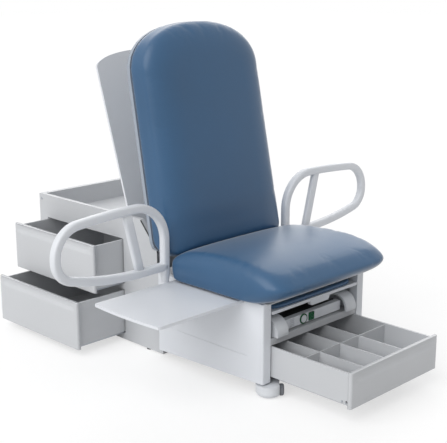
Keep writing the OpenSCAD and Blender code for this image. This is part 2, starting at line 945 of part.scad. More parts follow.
module button_ring() {
    color(spot_green) placed() translate([button_x, bar_front, face_z]) rotate([90, 0, 0])
        linear_extrude(ring_t) difference() {
            circle(ring_r);
            circle(button_r + slide_gap);
        }
}

// Side view of a cabinet side wall: set back above the deck, then slanted up to the rim
module cabinet_side() {
    polygon([
        [cab_start, cab_foot],
        [cab_rear, cab_foot],
        [cab_rear, cab_rim],
        [notch_y + notch_run, cab_rim],
        [notch_y, notch_low],
        [notch_y, deck_z],
        [cab_start, deck_z]
    ]);
}

module cabinet_wall_right() {
    color(panel_grey) placed() difference() {
        along_x(-cab_x, -cab_in) cabinet_side();
        for (z = [lower_z, upper_z]) block(
            [-cab_x - cut_over, side_y + window_lap, z + window_lap_z],
            [-cab_in + cut_over, side_y + side_w - window_lap, z + side_h - window_lap_z]);
    }
}

module cabinet_wall_left() {
    color(panel_grey) placed() along_x(cab_in, cab_x) cabinet_side();
}

module cabinet_wall_rear() {
    color(panel_grey) placed() block([-cab_in, rear_in, cab_foot], [cab_in, cab_rear, cab_rim]);
}

module cabinet_wall_front() {
    color(panel_grey) placed()
        block([-cab_in, cab_front, rail_z], [cab_in, bay_back, front_wall_top]);
}

module cabinet_floor() {
    color(panel_grey) placed() block([-cab_in, cab_start, cab_foot], [cab_in, rear_in, rail_z]);
}

module cabinet_shelf() {
    color(panel_grey) placed() block([-cab_in, bay_back, cab_shelf_z],
        [cab_in, rear_in, cab_shelf_z + cab_shelf_t]);
}

module cabinet_tray() {
    color(panel_grey) placed()
        block([-cab_in, bay_back, tray_z - tray_t], [cab_in, rear_in, tray_z]);
}

// Fixed rails under both side drawers
module side_drawer_rails() {
    low_y = side_y + window_lap + box_set;
    high_y = side_y + side_w - window_lap - box_set;
    color(steel_grey) placed() for (y = [low_y, high_y - slide_w]) {
        block([-cab_in, y, rail_z],
            [side_box - cab_x, y + slide_w, lower_z + window_lap_z + slide_rise - slide_gap]);
        block([-cab_in, y, cab_shelf_z + cab_shelf_t],
            [side_box - cab_x, y + slide_w, upper_z + window_lap_z + slide_rise - slide_gap]);
    }
}

module levelling_feet() {
    color(dark_grey) placed() for (side = [-1, 1], y = [foot_y, cab_rear - foot_end])
        translate([side * (cab_x - foot_set), y, 0]) cylinder(r = foot_r, h = cab_foot);
}

module arm_sockets() {
    color(shell_white) placed() for (side = [-1, 1]) on_side(side) difference() {
        union() {
            block([panel_x, arm_y - bracket_w / 2, socket_z],
                [panel_x + bracket_t, arm_y + bracket_w / 2, socket_top]);
            block([panel_x, arm_y - bracket_rib / 2, socket_z],
                [arm_x, arm_y + bracket_rib / 2, socket_top]);
            translate([arm_x, arm_y, socket_z]) cylinder(r = socket_r, h = socket_top - socket_z);
        }
        translate([arm_x, arm_y, socket_z - cut_over])
            cylinder(r = arm_pin_r + run_gap, h = socket_top - socket_z + 2 * cut_over);
    }
}

// Straight bar of an arm loop between two points of its plane
module loop_bar(from, to, bar_r) {
    run = to - from;
    translate([from[0], 0, from[1]]) rotate([0, atan2(run[0], run[1]), 0])
        cylinder(r = bar_r, h = norm(run), $fn = bar_steps);
}

// Bend of an arm loop round a centre in its plane
module loop_bend(centre, bend_r, from, turn) {
    translate([centre[0], 0, centre[1]]) rotate([90, 0, 0]) rotate([0, 0, from])
        rotate_extrude(angle = turn, $fn = loop_steps)
        translate([bend_r, 0]) circle(tube_r, $fn = bar_steps);
}

// Sleeve that joins two bent pieces of a loop and laps over both
module loop_sleeve(from, to) {
    lap = sleeve_lap * (to - from) / norm(to - from);
    loop_bar(from - lap, to + lap, sleeve_r);
}

// Point of a bend at an angle round its centre
function on_bend(centre, bend_r, angle) = centre + bend_r * [cos(angle), sin(angle)];

// Radius of the flat bow that leads by a short straight into a bend, a run and a drop away
function bow_r(run, drop, bend_r) =
    (run * run + drop * drop - bend_r * bend_r - loop_join * loop_join) / (2 * (drop - bend_r));

// Turn of that bow
function bow_turn(run, drop, bend_r) = let(flat_r = bow_r(run, drop, bend_r))
    atan2(run, flat_r - drop) - atan2(loop_join, flat_r - bend_r);

// Arm loop in its own plane: the post stands at zero and the loop reaches along +X
module arm_loop() {
    bend = [loop_bend_r, loop_h - loop_bend_r];
    end = [loop_reach_x - loop_end_r, loop_end_z + loop_join];
    nose = [loop_reach_x - loop_nose_r, loop_end_z];
    top_x = loop_bend_r + loop_join;
    top_r = bow_r(end[0] - top_x, loop_h - end[1], loop_end_r);
    top_turn = bow_turn(end[0] - top_x, loop_h - end[1], loop_end_r);
    top = [top_x, loop_h - top_r];
    low_r = bow_r(nose[0] - loop_low_x, nose[1], loop_nose_r);
    low_turn = bow_turn(nose[0] - loop_low_x, nose[1], loop_nose_r);
    low = [loop_low_x, low_r];
    post_foot = [0, socket_top + slide_gap - arm_z];
    color(shell_white) placed() translate([arm_x, arm_y, arm_z]) rotate([0, 0, -loop_turn]) {
        loop_bar(post_foot, [0, bend[1] + sleeve_lap], sleeve_r);
        loop_bend(bend, loop_bend_r, 90, 90);
        loop_sleeve([loop_bend_r, loop_h], [top_x, loop_h]);
        loop_bend(top, top_r, 90 - top_turn, top_turn);
        loop_sleeve(on_bend(top, top_r, 90 - top_turn), on_bend(end, loop_end_r, 90 - top_turn));
        loop_bend(end, loop_end_r, 0, 90 - top_turn);
        loop_sleeve([loop_reach_x, end[1]], [loop_reach_x, nose[1]]);
        loop_bend(nose, loop_nose_r, low_turn - 90, 90 - low_turn);
        loop_sleeve(on_bend(nose, loop_nose_r, low_turn - 90), on_bend(low, low_r, low_turn - 90));
        loop_bend(low, low_r, -90, low_turn);
        loop_bar([0, 0], [loop_low_x, 0], tube_r);
        loop_bar([brace_foot_x, 0], [brace_top_x, loop_h], brace_r);
        translate([0, 0, arm_pin_z - arm_z])
            cylinder(r = arm_pin_r, h = socket_top + slide_gap - arm_pin_z);
    }
}

module arm_loop_left() {
    arm_loop();
}

module arm_loop_right() {
    on_side(-1) arm_loop();
}

module side_board() {
    length = board_out + board_in;
    bow_r = (board_d * board_d / 4 + board_bow * board_bow) / (2 * board_bow);
    color(shell_white) placed() translate([-panel_x - board_out, board_y, board_z])
        linear_extrude(board_t) intersection() {
            union() {
                round_plate(length, board_d, board_round);
                translate([length - board_round, 0]) square([board_round, board_d]);
            }
            translate([bow_r, board_d / 2]) circle(bow_r);
        }
}

module footrest_tray() {
    lobe_x0 = lobe_x - lobe_w / 2;
    color(shell_white) placed() {
        block([-foot_w / 2, -foot_front, foot_z], [foot_w / 2, foot_len - foot_front, foot_z + foot_t]);
        translate([lobe_x0, lip_t - foot_front, foot_z - lobe_h]) rotate([90, 0, 0])
            linear_extrude(lip_t) intersection() {
                round_plate(lobe_w, lobe_h + 2 * lobe_r, lobe_r);
                square([lobe_w, lobe_h]);
            }
    }
}

module footrest_pad() {
    half_x = foot_w / 2 - pad_inset;
    half_y = foot_len / 2 - pad_inset;
    color(vinyl_blue) placed() skin(level_rings(half_x, half_y, foot_len / 2 - foot_front,
        pad_square, foot_z + foot_t + soft_gap, pad_t - pad_crown, pad_round, pad_crown,
        [[pad_crown, 0], [0, pad_crown]], 3));
}

module stirrup_bar(side) {
    x = cup_x + cup_w / 2;
    half = bar_side / 2;
    color(steel_grey) placed() on_side(side)
        block([x - half, bar_y, bar_z - half], [x + half, bar_y + bar_len, bar_z + half]);
}

module stirrup_bar_right() {
    stirrup_bar(-1);
}

module stirrup_bar_left() {
    stirrup_bar(1);
}

// Half-round heel cup, closed on its outer side and open towards the middle
module stirrup_cup(side) {
    x = cup_x + cup_w / 2;
    half = bar_side / 2 + run_gap;
    color(shell_white) placed() on_side(side) difference() {
        along_x(cup_x, cup_x + cup_w) translate([cup_y, cup_z]) circle(cup_r);
        along_x(cup_x - cut_over, cup_x + cup_w - cup_t)
            translate([cup_y, cup_z]) circle(cup_r - cup_t);
        block([0, cup_y - 2 * cup_r, 0], [cup_x + 2 * cup_w, cup_y + 2 * cup_r, cup_base]);
        block([x - half, cup_y, bar_z - half], [x + half, cup_y + 2 * cup_r, bar_z + half]);
    }
}

module stirrup_cup_right() {
    stirrup_cup(-1);
}

module stirrup_cup_left() {
    stirrup_cup(1);
}

// Wide shallow finger pull along the upper part of a front, drawn for a face at zero
module pull_cut(w) {
    half = sqrt(pull_r * pull_r - (pull_r - pull_depth) * (pull_r - pull_depth));
    translate([-w / 2 + pull_side, 0, -pull_edge - half]) intersection() {
        translate([0, pull_depth - pull_r, 0]) rotate([0, 90, 0])
            cylinder(r = pull_r, h = w - 2 * pull_side);
        block([0, -cut_over, -half - cut_over], [w, pull_depth + cut_over, half + cut_over]);
    }
}

// Drawer front lying in X and Z with its outer face at zero, its top at zero height
module drawer_face(w, h) {
    difference() {
        translate([-w / 2, 0, -h]) cube([w, front_plate, h]);
        pull_cut(w);
    }
}

module front_drawer_front() {
    color(panel_grey) placed() translate([0, front_y, front_z + front_h])
        drawer_face(front_w, front_h);
}

// Where the front drawer's box starts
function drawer_start() = front_y + front_plate;

module front_drawer_box() {
    y = drawer_start();
    color(panel_grey) placed() difference() {
        block([-drawer_x, y, drawer_z], [drawer_x, y + front_box, drawer_z + drawer_h]);
        block([-drawer_x + box_t, y + box_t, drawer_z + drawer_floor],
            [drawer_x - box_t, y + front_box - box_t, drawer_z + drawer_h + cut_over]);
    }
}

module front_drawer_dividers() {
    y = drawer_start() + box_t;
    inner = 2 * (drawer_x - box_t);
    depth = front_box - 2 * box_t;
    low = drawer_z + drawer_floor;
    high = drawer_z + drawer_h - divider_drop;
    cross = y + depth * cross_share;
    color(panel_grey) placed() {
        for (share = divider_shares) let (x = inner * (share - 0.5))
            block([x - divider_t / 2, y, low], [x + divider_t / 2, y + depth, high]);
        block([-inner / 2, cross - divider_t / 2, low], [inner / 2, cross + divider_t / 2, high]);
    }
}

module front_drawer_slides() {
    y = drawer_start();
    color(steel_grey) placed() for (side = [-1, 1]) on_side(side) {
        block([drawer_x - box_t - slide_w, y + slide_in, drawer_z - slide_h],
            [drawer_x - box_t, y + front_box - slide_in, drawer_z]);
        for (share = screw_shares) translate([drawer_x, y + front_box * share, drawer_z + 2 * screw_r])
            rotate([0, 90, 0]) cylinder(r = screw_r, h = screw_h);
    }
}

// Outer face of a side drawer that stands open
function side_face(open) = -side_rest - open - front_plate;

module side_drawer_front(open, z) {
    color(panel_grey) placed() translate([side_face(open), side_y + side_w / 2, z + side_h])
        rotate([0, 0, -90]) mirror([1, 0, 0]) drawer_face(side_w, side_h);
}

module side_drawer_box(open, z) {
    x = side_face(open) + front_plate;
    low = z + window_lap_z + slide_rise + slide_h;
    high = z + side_h - box_drop;
    low_y = side_y + window_lap + box_set;
    high_y = side_y + side_w - window_lap - box_set;
    color(panel_grey) placed() difference() {
        block([x, low_y, low], [x + side_box, high_y, high]);
        block([x + box_t, low_y + box_t, low + drawer_floor],
            [x + side_box - box_t, high_y - box_t, high + cut_over]);
    }
}

module side_drawer_slides(open, z) {
    x = side_face(open) + front_plate;
    low = z + window_lap_z + slide_rise;
    low_y = side_y + window_lap + box_set;
    high_y = side_y + side_w - window_lap - box_set;
    color(steel_grey) placed() for (y = [low_y, high_y - slide_w])
        block([x + slide_in, y, low], [x + side_box - slide_in, y + slide_w, low + slide_h]);
}

module upper_drawer_front() {
    side_drawer_front(upper_open, upper_z);
}

module upper_drawer_box() {
    side_drawer_box(upper_open, upper_z);
}

module upper_drawer_slides() {
    side_drawer_slides(upper_open, upper_z);
}

module lower_drawer_front() {
    side_drawer_front(lower_open, lower_z);
}

module lower_drawer_box() {
    side_drawer_box(lower_open, lower_z);
}

module lower_drawer_slides() {
    side_drawer_slides(lower_open, lower_z);
}

// Knuckles along the shroud's hinge, each joined to what carries it
module knuckles(shares, low, high, side_t) {
    for (share = shares) let (x = share * shroud_half) difference() {
        union() {
            pin_x(x - knuckle_len / 2, x + knuckle_len / 2, 0, 0, knuckle_r);
            block([x - knuckle_len / 2, -side_t / 2, low], [x + knuckle_len / 2, side_t / 2, high]);
        }
        pin_x(x - knuckle_len, x + knuckle_len, 0, 0, shroud_pin_r + run_gap);
    }
}

module shroud_brackets() {
    color(steel_grey) placed() translate([0, shroud_y, shroud_z])
        knuckles(bracket_shares, front_wall_top - shroud_z, 0, front_t);
}

module rear_shroud() {
    outline = concat(
        [[-shroud_half, shroud_foot], [shroud_half, shroud_foot]],
        [for (a = [0:6:180]) [shroud_half * cos(a), shroud_side + shroud_arch * sin(a)]]
    );
    color(panel_grey) placed() translate([0, shroud_y, shroud_z]) rotate([-shroud_tilt, 0, 0]) {
        translate([0, shroud_t / 2, 0]) rotate([90, 0, 0]) linear_extrude(shroud_t)
            polygon(outline);
        knuckles(knuckle_shares, 0, shroud_foot, shroud_t);
    }
}

// Puts a piece on the actuator's own line, with its lower pivot at zero
module on_drive() {
    translate([0, drive_y, drive_z]) rotate([drive_lean, 0, 0]) children();
}

module actuator_body() {
    eye = clevis_x - eye_gap;
    low = clevis_r + drive_foot;
    side = drive_r + motor_r + motor_gap;
    color(dark_grey) placed() on_drive() difference() {
        union() {
            pin_x(-eye, eye, 0, 0, clevis_r);
            block([-eye, -clevis_r / 2, 0], [eye, clevis_r / 2, low]);
            block([-drive_r, -drive_r, low], [drive_r, side + motor_r, low + drive_r]);
            translate([0, 0, low]) cylinder(r = drive_r, h = drive_tube);
            translate([0, side, low]) cylinder(r = motor_r, h = motor_len);
        }
        pin_x(-clevis_x, clevis_x, 0, 0, drive_pin_r + run_gap);
        translate([0, 0, low + drive_r]) cylinder(r = rod_r + run_gap, h = drive_tube);
    }
}

module actuator_rod() {
    eye_r = lever_pin_r + eye_slack + eye_wall;
    color(steel_grey) placed() on_drive() difference() {
        union() {
            translate([0, 0, rod_depth]) cylinder(r = rod_r, h = drive_len - rod_depth);
            pin_x(-eye_w / 2, eye_w / 2, 0, drive_len, eye_r);
        }
        pin_x(-eye_w, eye_w, 0, drive_len, lever_pin_r + eye_slack);
    }
}

// Puts a piece on a caster's swivel axis, turned so that X runs along its axle
module on_caster(side) {
    placed() on_side(side) translate([caster_x, caster_y, 0]) children();
}
module on_axle() {
    translate([-trail_x, trail_y, 0]) rotate([0, 0, axle_turn]) children();
}

module caster_hood(side) {
    color(shell_white) on_caster(side) {
        translate([0, 0, hood_h - cut_over]) cylinder(r = stem_r, h = floor_gap + stem_len - hood_h);
        on_axle() {
            intersection() {
                rotate_extrude() {
                    intersection() {
                        translate([hood_flat, hood_wall_z]) circle(hood_r - hood_flat);
                        translate([0, hood_lift]) square([hood_r, hood_h - hood_lift]);
                    }
                    translate([0, hood_lift]) square([hood_flat, hood_h - hood_lift]);
                    translate([0, hood_wall_z]) square([hood_r, hood_h - hood_wall_z]);
                }
                block([-2 * hood_r, -2 * hood_r, 0], [hood_cut, 2 * hood_r, hood_h]);
            }
            pin_x(0, hood_cut + wheel_gap + wheel_w - axle_inset, 0, wheel_r, axle_r);
        }
    }
}

module caster_wheel(side) {
    round_r = wheel_r / 3;
    color(steel_grey) on_caster(side) on_axle()
        translate([hood_cut + wheel_gap, 0, wheel_r]) rotate([0, 90, 0]) difference() {
            rotate_extrude() {
                square([wheel_r - round_r, wheel_w]);
                square([wheel_r, wheel_w - round_r]);
                translate([wheel_r - round_r, wheel_w - round_r]) circle(round_r);
            }
            translate([0, 0, -cut_over])
                cylinder(r = axle_r + run_gap, h = wheel_w - axle_inset + cut_over + slide_gap);
        }
}

module caster_hood_right() {
    caster_hood(-1);
}

module caster_wheel_right() {
    caster_wheel(-1);
}

module caster_hood_left() {
    caster_hood(1);
}

module caster_wheel_left() {
    caster_wheel(1);
}

chassis_frame();
side_panel_right();
side_panel_left();
front_posts();
sill_rail();
bay_shelf();
rear_bulkhead();
seat_deck();
seat_cushion();
footrest_rails();
front_drawer_rails();
board_rails();
stirrup_guides();
service_bar();
power_box();
cabinet_wall_right();
cabinet_wall_left();
cabinet_wall_rear();
cabinet_wall_front();
cabinet_floor();
cabinet_shelf();
cabinet_tray();
side_drawer_rails();
levelling_feet();
recline_brackets();
arm_sockets();
shroud_brackets();
pivot_pins();
backrest_cushion();
backrest_shell();
backrest_frame();
rear_shroud();
actuator_body();
actuator_rod();
arm_loop_right();
arm_loop_left();
side_board();
footrest_tray();
footrest_pad();
stirrup_bar_right();
stirrup_cup_right();
stirrup_bar_left();
stirrup_cup_left();
front_drawer_box();
front_drawer_front();
front_drawer_dividers();
front_drawer_slides();
upper_drawer_box();
upper_drawer_front();
upper_drawer_slides();
lower_drawer_box();
lower_drawer_front();
lower_drawer_slides();
caster_hood_right();
caster_wheel_right();
caster_hood_left();
caster_wheel_left();
power_button();
power_switch();
button_ring();
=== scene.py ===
import bmesh
import bpy
import math
import numpy as np
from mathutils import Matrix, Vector


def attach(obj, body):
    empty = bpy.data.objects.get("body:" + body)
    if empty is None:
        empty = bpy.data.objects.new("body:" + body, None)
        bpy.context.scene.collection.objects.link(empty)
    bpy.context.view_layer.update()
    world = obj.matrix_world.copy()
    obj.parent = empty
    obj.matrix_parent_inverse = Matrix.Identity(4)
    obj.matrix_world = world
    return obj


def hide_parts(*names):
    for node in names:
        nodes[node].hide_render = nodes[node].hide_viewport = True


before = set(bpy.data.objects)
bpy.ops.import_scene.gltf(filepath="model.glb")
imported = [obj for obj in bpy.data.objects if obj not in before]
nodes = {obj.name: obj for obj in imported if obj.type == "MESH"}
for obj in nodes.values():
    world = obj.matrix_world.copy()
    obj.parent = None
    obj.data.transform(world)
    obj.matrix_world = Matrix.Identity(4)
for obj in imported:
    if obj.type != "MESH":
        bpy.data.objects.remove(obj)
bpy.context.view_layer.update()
print("frame loaded,", len(nodes), "nodes")

# One millimetre, and the shift from the front posts' plane to the frame's own middle
mm = 0.001
midY = 523.75


view = {"place": (-2.8375, -2.82275, 1.555), "turn": 45.3, "dip": 14.2,
        "focalPixels": 980, "widthPixels": 447, "sensor": 36}


def makeCamera(s):
    # looks along the turn from +Y towards +X, tipped down by the dip
    turn, dip = math.radians(s["turn"]), math.radians(s["dip"])
    ahead = Vector((math.sin(turn) * math.cos(dip), math.cos(turn) * math.cos(dip), -math.sin(dip)))
    data = bpy.data.cameras.new("photoCamera")
    data.sensor_width = s["sensor"]
    data.lens = s["focalPixels"] / s["widthPixels"] * s["sensor"]
    data.clip_end = 50
    camera = bpy.data.objects.new("photoCamera", data)
    camera.location = s["place"]
    camera.rotation_mode = "QUATERNION"
    camera.rotation_quaternion = ahead.to_track_quat("-Z", "Y")
    bpy.context.scene.collection.objects.link(camera)
    bpy.context.scene.camera = camera


makeCamera(view)
print("camera placed")


def newMaterial(name):
    made = bpy.data.materials.new(name)
    made.use_nodes = True
    shader = made.node_tree.nodes["Principled BSDF"]
    return made, made.node_tree, shader


def addNode(tree, kind, inputs=None, **values):
    made = tree.nodes.new(kind)
    for key, value in values.items():
        setattr(made, key, value)
    for key, value in (inputs or {}).items():
        made.inputs[key].default_value = value
    return made


def linear(colour):
    # screen colour 0..255 to the linear value that the shader takes
    c = np.array(colour) / 255
    return tuple(np.where(c <= 0.04045, c / 12.92, ((c + 0.055) / 1.055) ** 2.4)) + (1,)


def spread(tree, coords, scale, detail, rough=0.5):
    noise = addNode(tree, "ShaderNodeTexNoise",
                    {"Scale": scale, "Detail": detail, "Roughness": rough})
    tree.links.new(coords.outputs["Object"], noise.inputs["Vector"])
    return noise


def ranged(tree, source, low, high, fromLow=0.3, fromHigh=0.7):
    made = addNode(tree, "ShaderNodeMapRange", {"From Min": fromLow, "From Max": fromHigh,
                                                "To Min": low, "To Max": high})
    tree.links.new(source, made.inputs["Value"])
    return made


def mixed(tree, share, first, second):
    made = addNode(tree, "ShaderNodeMix", data_type="RGBA")
    made.inputs[6].default_value = first
    made.inputs[7].default_value = second
    tree.links.new(share, made.inputs[0])
    return made


def toned(tree, coords, scale, detail, colour, low, high):
    # the colour, clouded between two multiples of itself
    cloud = spread(tree, coords, scale, detail)
    base = np.array(linear(colour))[:3]
    share = ranged(tree, cloud.outputs["Fac"], 0, 1)
    return mixed(tree, share.outputs["Result"], tuple(base * low) + (1,),
                 tuple(base * high) + (1,))


def bumped(tree, heights, distance, strength, under=None):
    made = addNode(tree, "ShaderNodeBump", {"Distance": distance, "Strength": strength})
    tree.links.new(heights, made.inputs["Height"])
    if under:
        tree.links.new(under, made.inputs["Normal"])
    return made


def coated(name, s):
    # powder coat: faint clouding, fine orange peel, edges rounded in the normal and painted lighter
    # in patches as a highlight
    made, tree, shader = newMaterial(name)
    coords = addNode(tree, "ShaderNodeTexCoord")
    tone = toned(tree, coords, s["cloud"], 3, s["colour"], 1 - s["vary"], 1 + s["vary"])
    edge = addNode(tree, "ShaderNodeBevel", {"Radius": s["edge"]}, samples=6)
    plain = addNode(tree, "ShaderNodeNewGeometry")
    turn = addNode(tree, "ShaderNodeVectorMath", operation="DOT_PRODUCT")
    tree.links.new(edge.outputs["Normal"], turn.inputs[0])
    tree.links.new(plain.outputs["Normal"], turn.inputs[1])
    # painted highlight: at edges, where the rounded normal leaves the face's own, the colour is
    # lifted towards a lighter one, in patches
    edgeHighlightShare = ranged(tree, turn.outputs["Value"], s["edgeHighlight"], 0, 0.75, 0.98)
    highlightPatches = spread(tree, coords, 60, 4)
    patchyHighlight = addNode(tree, "ShaderNodeMath", operation="MULTIPLY")
    tree.links.new(edgeHighlightShare.outputs["Result"], patchyHighlight.inputs[0])
    tree.links.new(ranged(tree, highlightPatches.outputs["Fac"], 0, 1, 0.42, 0.6).outputs["Result"],
                   patchyHighlight.inputs[1])
    lit = addNode(tree, "ShaderNodeMix", data_type="RGBA")
    lit.inputs[7].default_value = linear(s["edgeHighlightColour"])
    tree.links.new(tone.outputs[2], lit.inputs[6])
    tree.links.new(patchyHighlight.outputs[0], lit.inputs[0])
    tree.links.new(lit.outputs[2], shader.inputs["Base Color"])
    smear = spread(tree, coords, 9, 4)
    tree.links.new(ranged(tree, smear.outputs["Fac"], s["rough"] - 0.05, s["rough"] + 0.06)
                   .outputs["Result"], shader.inputs["Roughness"])
    peel = spread(tree, coords, s["peel"], 2)
    tree.links.new(bumped(tree, peel.outputs["Fac"], 0.0002, s["peelDepth"],
                          edge.outputs["Normal"]).outputs["Normal"], shader.inputs["Normal"])
    shader.inputs["Metallic"].default_value = 0
    shader.inputs["IOR"].default_value = 1.5
    shader.inputs["Coat Weight"].default_value = s["coat"]
    shader.inputs["Coat Roughness"].default_value = 0.25
    return made


def covered(name, s):
    # smooth vinyl: pebble grain of small cells over a soft waver, slow change of tone, painted
    # shade in the cells' hollows
    made, tree, shader = newMaterial(name)
    coords = addNode(tree, "ShaderNodeTexCoord")
    tone = toned(tree, coords, 2.5, 4, s["colour"], 0.94, 1.06)
    cells = addNode(tree, "ShaderNodeTexVoronoi", {"Scale": s["grain"], "Randomness": 0.9},
                    feature="SMOOTH_F1")
    tree.links.new(coords.outputs["Object"], cells.inputs["Vector"])
    valley = ranged(tree, cells.outputs["Distance"], 0, 1, 0.2, 0.75)
    # painted shade: the grain's hollows, the cells' borders, are darkened
    grainHollowShade = addNode(tree, "ShaderNodeMix", data_type="RGBA", blend_type="MULTIPLY")
    grainHollowShade.inputs[7].default_value = (0.86, 0.87, 0.9, 1)
    tree.links.new(valley.outputs["Result"], grainHollowShade.inputs[0])
    tree.links.new(tone.outputs[2], grainHollowShade.inputs[6])
    tree.links.new(grainHollowShade.outputs[2], shader.inputs["Base Color"])
    waver = spread(tree, coords, 14, 3)
    smear = spread(tree, coords, 5, 4)
    tree.links.new(ranged(tree, smear.outputs["Fac"], s["rough"] - 0.04, s["rough"] + 0.05)
                   .outputs["Result"], shader.inputs["Roughness"])
    soft = bumped(tree, waver.outputs["Fac"], 0.004, s["waver"])
    grain = bumped(tree, valley.outputs["Result"], 0.00012, s["grainDepth"],
                   soft.outputs["Normal"])
    grain.invert = True
    tree.links.new(grain.outputs["Normal"], shader.inputs["Normal"])
    shader.inputs["IOR"].default_value = 1.5
    shader.inputs["Specular IOR Level"].default_value = s["gloss"]
    shader.inputs["Sheen Weight"].default_value = s["sheen"]
    shader.inputs["Sheen Roughness"].default_value = 0.25
    return made


def brushed(name, s):
    # brushed steel: fine lines drawn along one direction, slow change of brightness
    made, tree, shader = newMaterial(name)
    coords = addNode(tree, "ShaderNodeTexCoord")
    along = addNode(tree, "ShaderNodeMapping")
    along.inputs["Scale"].default_value = s["stretch"]
    tree.links.new(coords.outputs["Object"], along.inputs["Vector"])
    lines = addNode(tree, "ShaderNodeTexNoise", {"Scale": 260, "Detail": 4})
    tree.links.new(along.outputs["Vector"], lines.inputs["Vector"])
    tone = toned(tree, coords, 7, 3, s["colour"], 0.88, 1.08)
    tree.links.new(tone.outputs[2], shader.inputs["Base Color"])
    tree.links.new(ranged(tree, lines.outputs["Fac"], s["rough"] - 0.08, s["rough"] + 0.1)
                   .outputs["Result"], shader.inputs["Roughness"])
    edge = addNode(tree, "ShaderNodeBevel", {"Radius": 0.0008}, samples=4)
    tree.links.new(bumped(tree, lines.outputs["Fac"], 0.0002, 0.25, edge.outputs["Normal"])
                   .outputs["Normal"], shader.inputs["Normal"])
    shader.inputs["Metallic"].default_value = 1
    return made


def moulded(name, s):
    # moulded plastic or rubber: fine spark-eroded texture, faint flow lines
    made, tree, shader = newMaterial(name)
    coords = addNode(tree, "ShaderNodeTexCoord")
    tone = toned(tree, coords, 16, 4, s["colour"], 1 - s["vary"], 1 + s["vary"])
    tree.links.new(tone.outputs[2], shader.inputs["Base Color"])
    pits = spread(tree, coords, s["pits"], 3)
    tree.links.new(ranged(tree, pits.outputs["Fac"], s["rough"] - 0.06, s["rough"] + 0.06)
                   .outputs["Result"], shader.inputs["Roughness"])
    edge = addNode(tree, "ShaderNodeBevel", {"Radius": s["edge"]}, samples=4)
    tree.links.new(bumped(tree, pits.outputs["Fac"], 0.0003, s["depth"], edge.outputs["Normal"])
                   .outputs["Normal"], shader.inputs["Normal"])
    return made


coats = {
    # each coat has a painted highlight on its edges: its share and its lighter colour
    "shellWhite": {"colour": (219, 222, 227), "cloud": 3, "vary": 0.015, "edge": 0.0014,
                   "edgeHighlight": 0.35, "edgeHighlightColour": (240, 241, 243), "rough": 0.42, "peel": 900,
                   "peelDepth": 0.12, "coat": 0.1},
    "cabinetGrey": {"colour": (194, 196, 199), "cloud": 3, "vary": 0.02, "edge": 0.0012,
                    "edgeHighlight": 0.12, "edgeHighlightColour": (214, 215, 217), "rough": 0.48, "peel": 900,
                    "peelDepth": 0.15, "coat": 0.05},
}
covers = {"vinyl": {"colour": (53, 91, 126), "grain": 620, "grainDepth": 0.25, "rough": 0.38,
                    "waver": 0.02, "gloss": 0.45, "sheen": 0.9}}
metals = {"steel": {"colour": (170, 174, 180), "rough": 0.34, "stretch": (1, 0.05, 1)}}
plastics = {
    "darkPlastic": {"colour": (36, 37, 40), "vary": 0.12, "pits": 500, "rough": 0.55,
                    "edge": 0.001, "depth": 0.3},
    "palePlastic": {"colour": (216, 219, 223), "vary": 0.02, "pits": 420, "rough": 0.4,
                    "edge": 0.0015, "depth": 0.15},
    "backGrey": {"colour": (152, 161, 172), "vary": 0.03, "pits": 420, "rough": 0.45,
                 "edge": 0.0015, "depth": 0.2},
    "treadRubber": {"colour": (120, 123, 128), "vary": 0.08, "pits": 380, "rough": 0.62,
                    "edge": 0.0012, "depth": 0.35},
    "greenGlow": {"colour": (12, 84, 48), "vary": 0.1, "pits": 300, "rough": 0.25,
                  "edge": 0.0006, "depth": 0.1},
}
finishes = {}
for name, s in coats.items():
    finishes[name] = coated(name, s)
for name, s in covers.items():
    finishes[name] = covered(name, s)
for name, s in metals.items():
    finishes[name] = brushed(name, s)
for name, s in plastics.items():
    finishes[name] = moulded(name, s)
print("materials made:", len(finishes))


nodeFinishes = {
    "shellWhite": ["front_posts", "service_bar", "arm_sockets", "arm_loop_right",
                   "arm_loop_left", "footrest_tray", "side_panel_right", "side_panel_left",
                   "side_board", "rear_shroud"],
    "cabinetGrey": ["sill_rail", "bay_shelf", "rear_bulkhead", "seat_deck",
                    "cabinet_wall_right", "cabinet_wall_left", "cabinet_wall_rear",
                    "cabinet_wall_front", "cabinet_floor", "cabinet_shelf", "cabinet_tray",
                    "front_drawer_box", "front_drawer_front",
                    "front_drawer_dividers", "upper_drawer_box", "upper_drawer_front",
                    "lower_drawer_box", "lower_drawer_front"],
    "steel": ["footrest_rails", "front_drawer_rails", "board_rails", "stirrup_guides",
              "side_drawer_rails", "recline_brackets", "shroud_brackets", "pivot_pins",
              "backrest_frame", "actuator_rod", "stirrup_bar_right", "stirrup_bar_left",
              "front_drawer_slides", "upper_drawer_slides", "lower_drawer_slides"],
    "backGrey": ["backrest_shell"],
    "darkPlastic": ["chassis_frame", "power_box", "levelling_feet", "actuator_body"],
    "palePlastic": ["stirrup_cup_right", "stirrup_cup_left", "caster_hood_right",
                    "caster_hood_left", "power_button"],
    "treadRubber": ["caster_wheel_right", "caster_wheel_left"],
    "vinyl": ["seat_cushion", "backrest_cushion", "footrest_pad"],
    "greenGlow": ["power_switch", "button_ring"],
}
for finish, names in nodeFinishes.items():
    for name in names:
        held = nodes[name].data.materials
        held.clear()
        held.append(finishes[finish])
print("finishes given to the carried-over nodes")


def meshFrom(name, points, faces, finish):
    # mesh in metres from points in millimetres measured from the posts' plane
    data = bpy.data.meshes.new(name)
    data.from_pydata(((points - (0, midY, 0)) * mm).tolist(), [], faces)
    shape = bmesh.new()
    shape.from_mesh(data)
    bmesh.ops.recalc_face_normals(shape, faces=shape.faces[:])
    shape.to_mesh(data)
    shape.free()
    data.materials.append(finishes[finish])
    made = bpy.data.objects.new(name, data)
    bpy.context.scene.collection.objects.link(made)
    data.polygons.foreach_set("use_smooth", np.full(len(data.polygons), True))
    return made


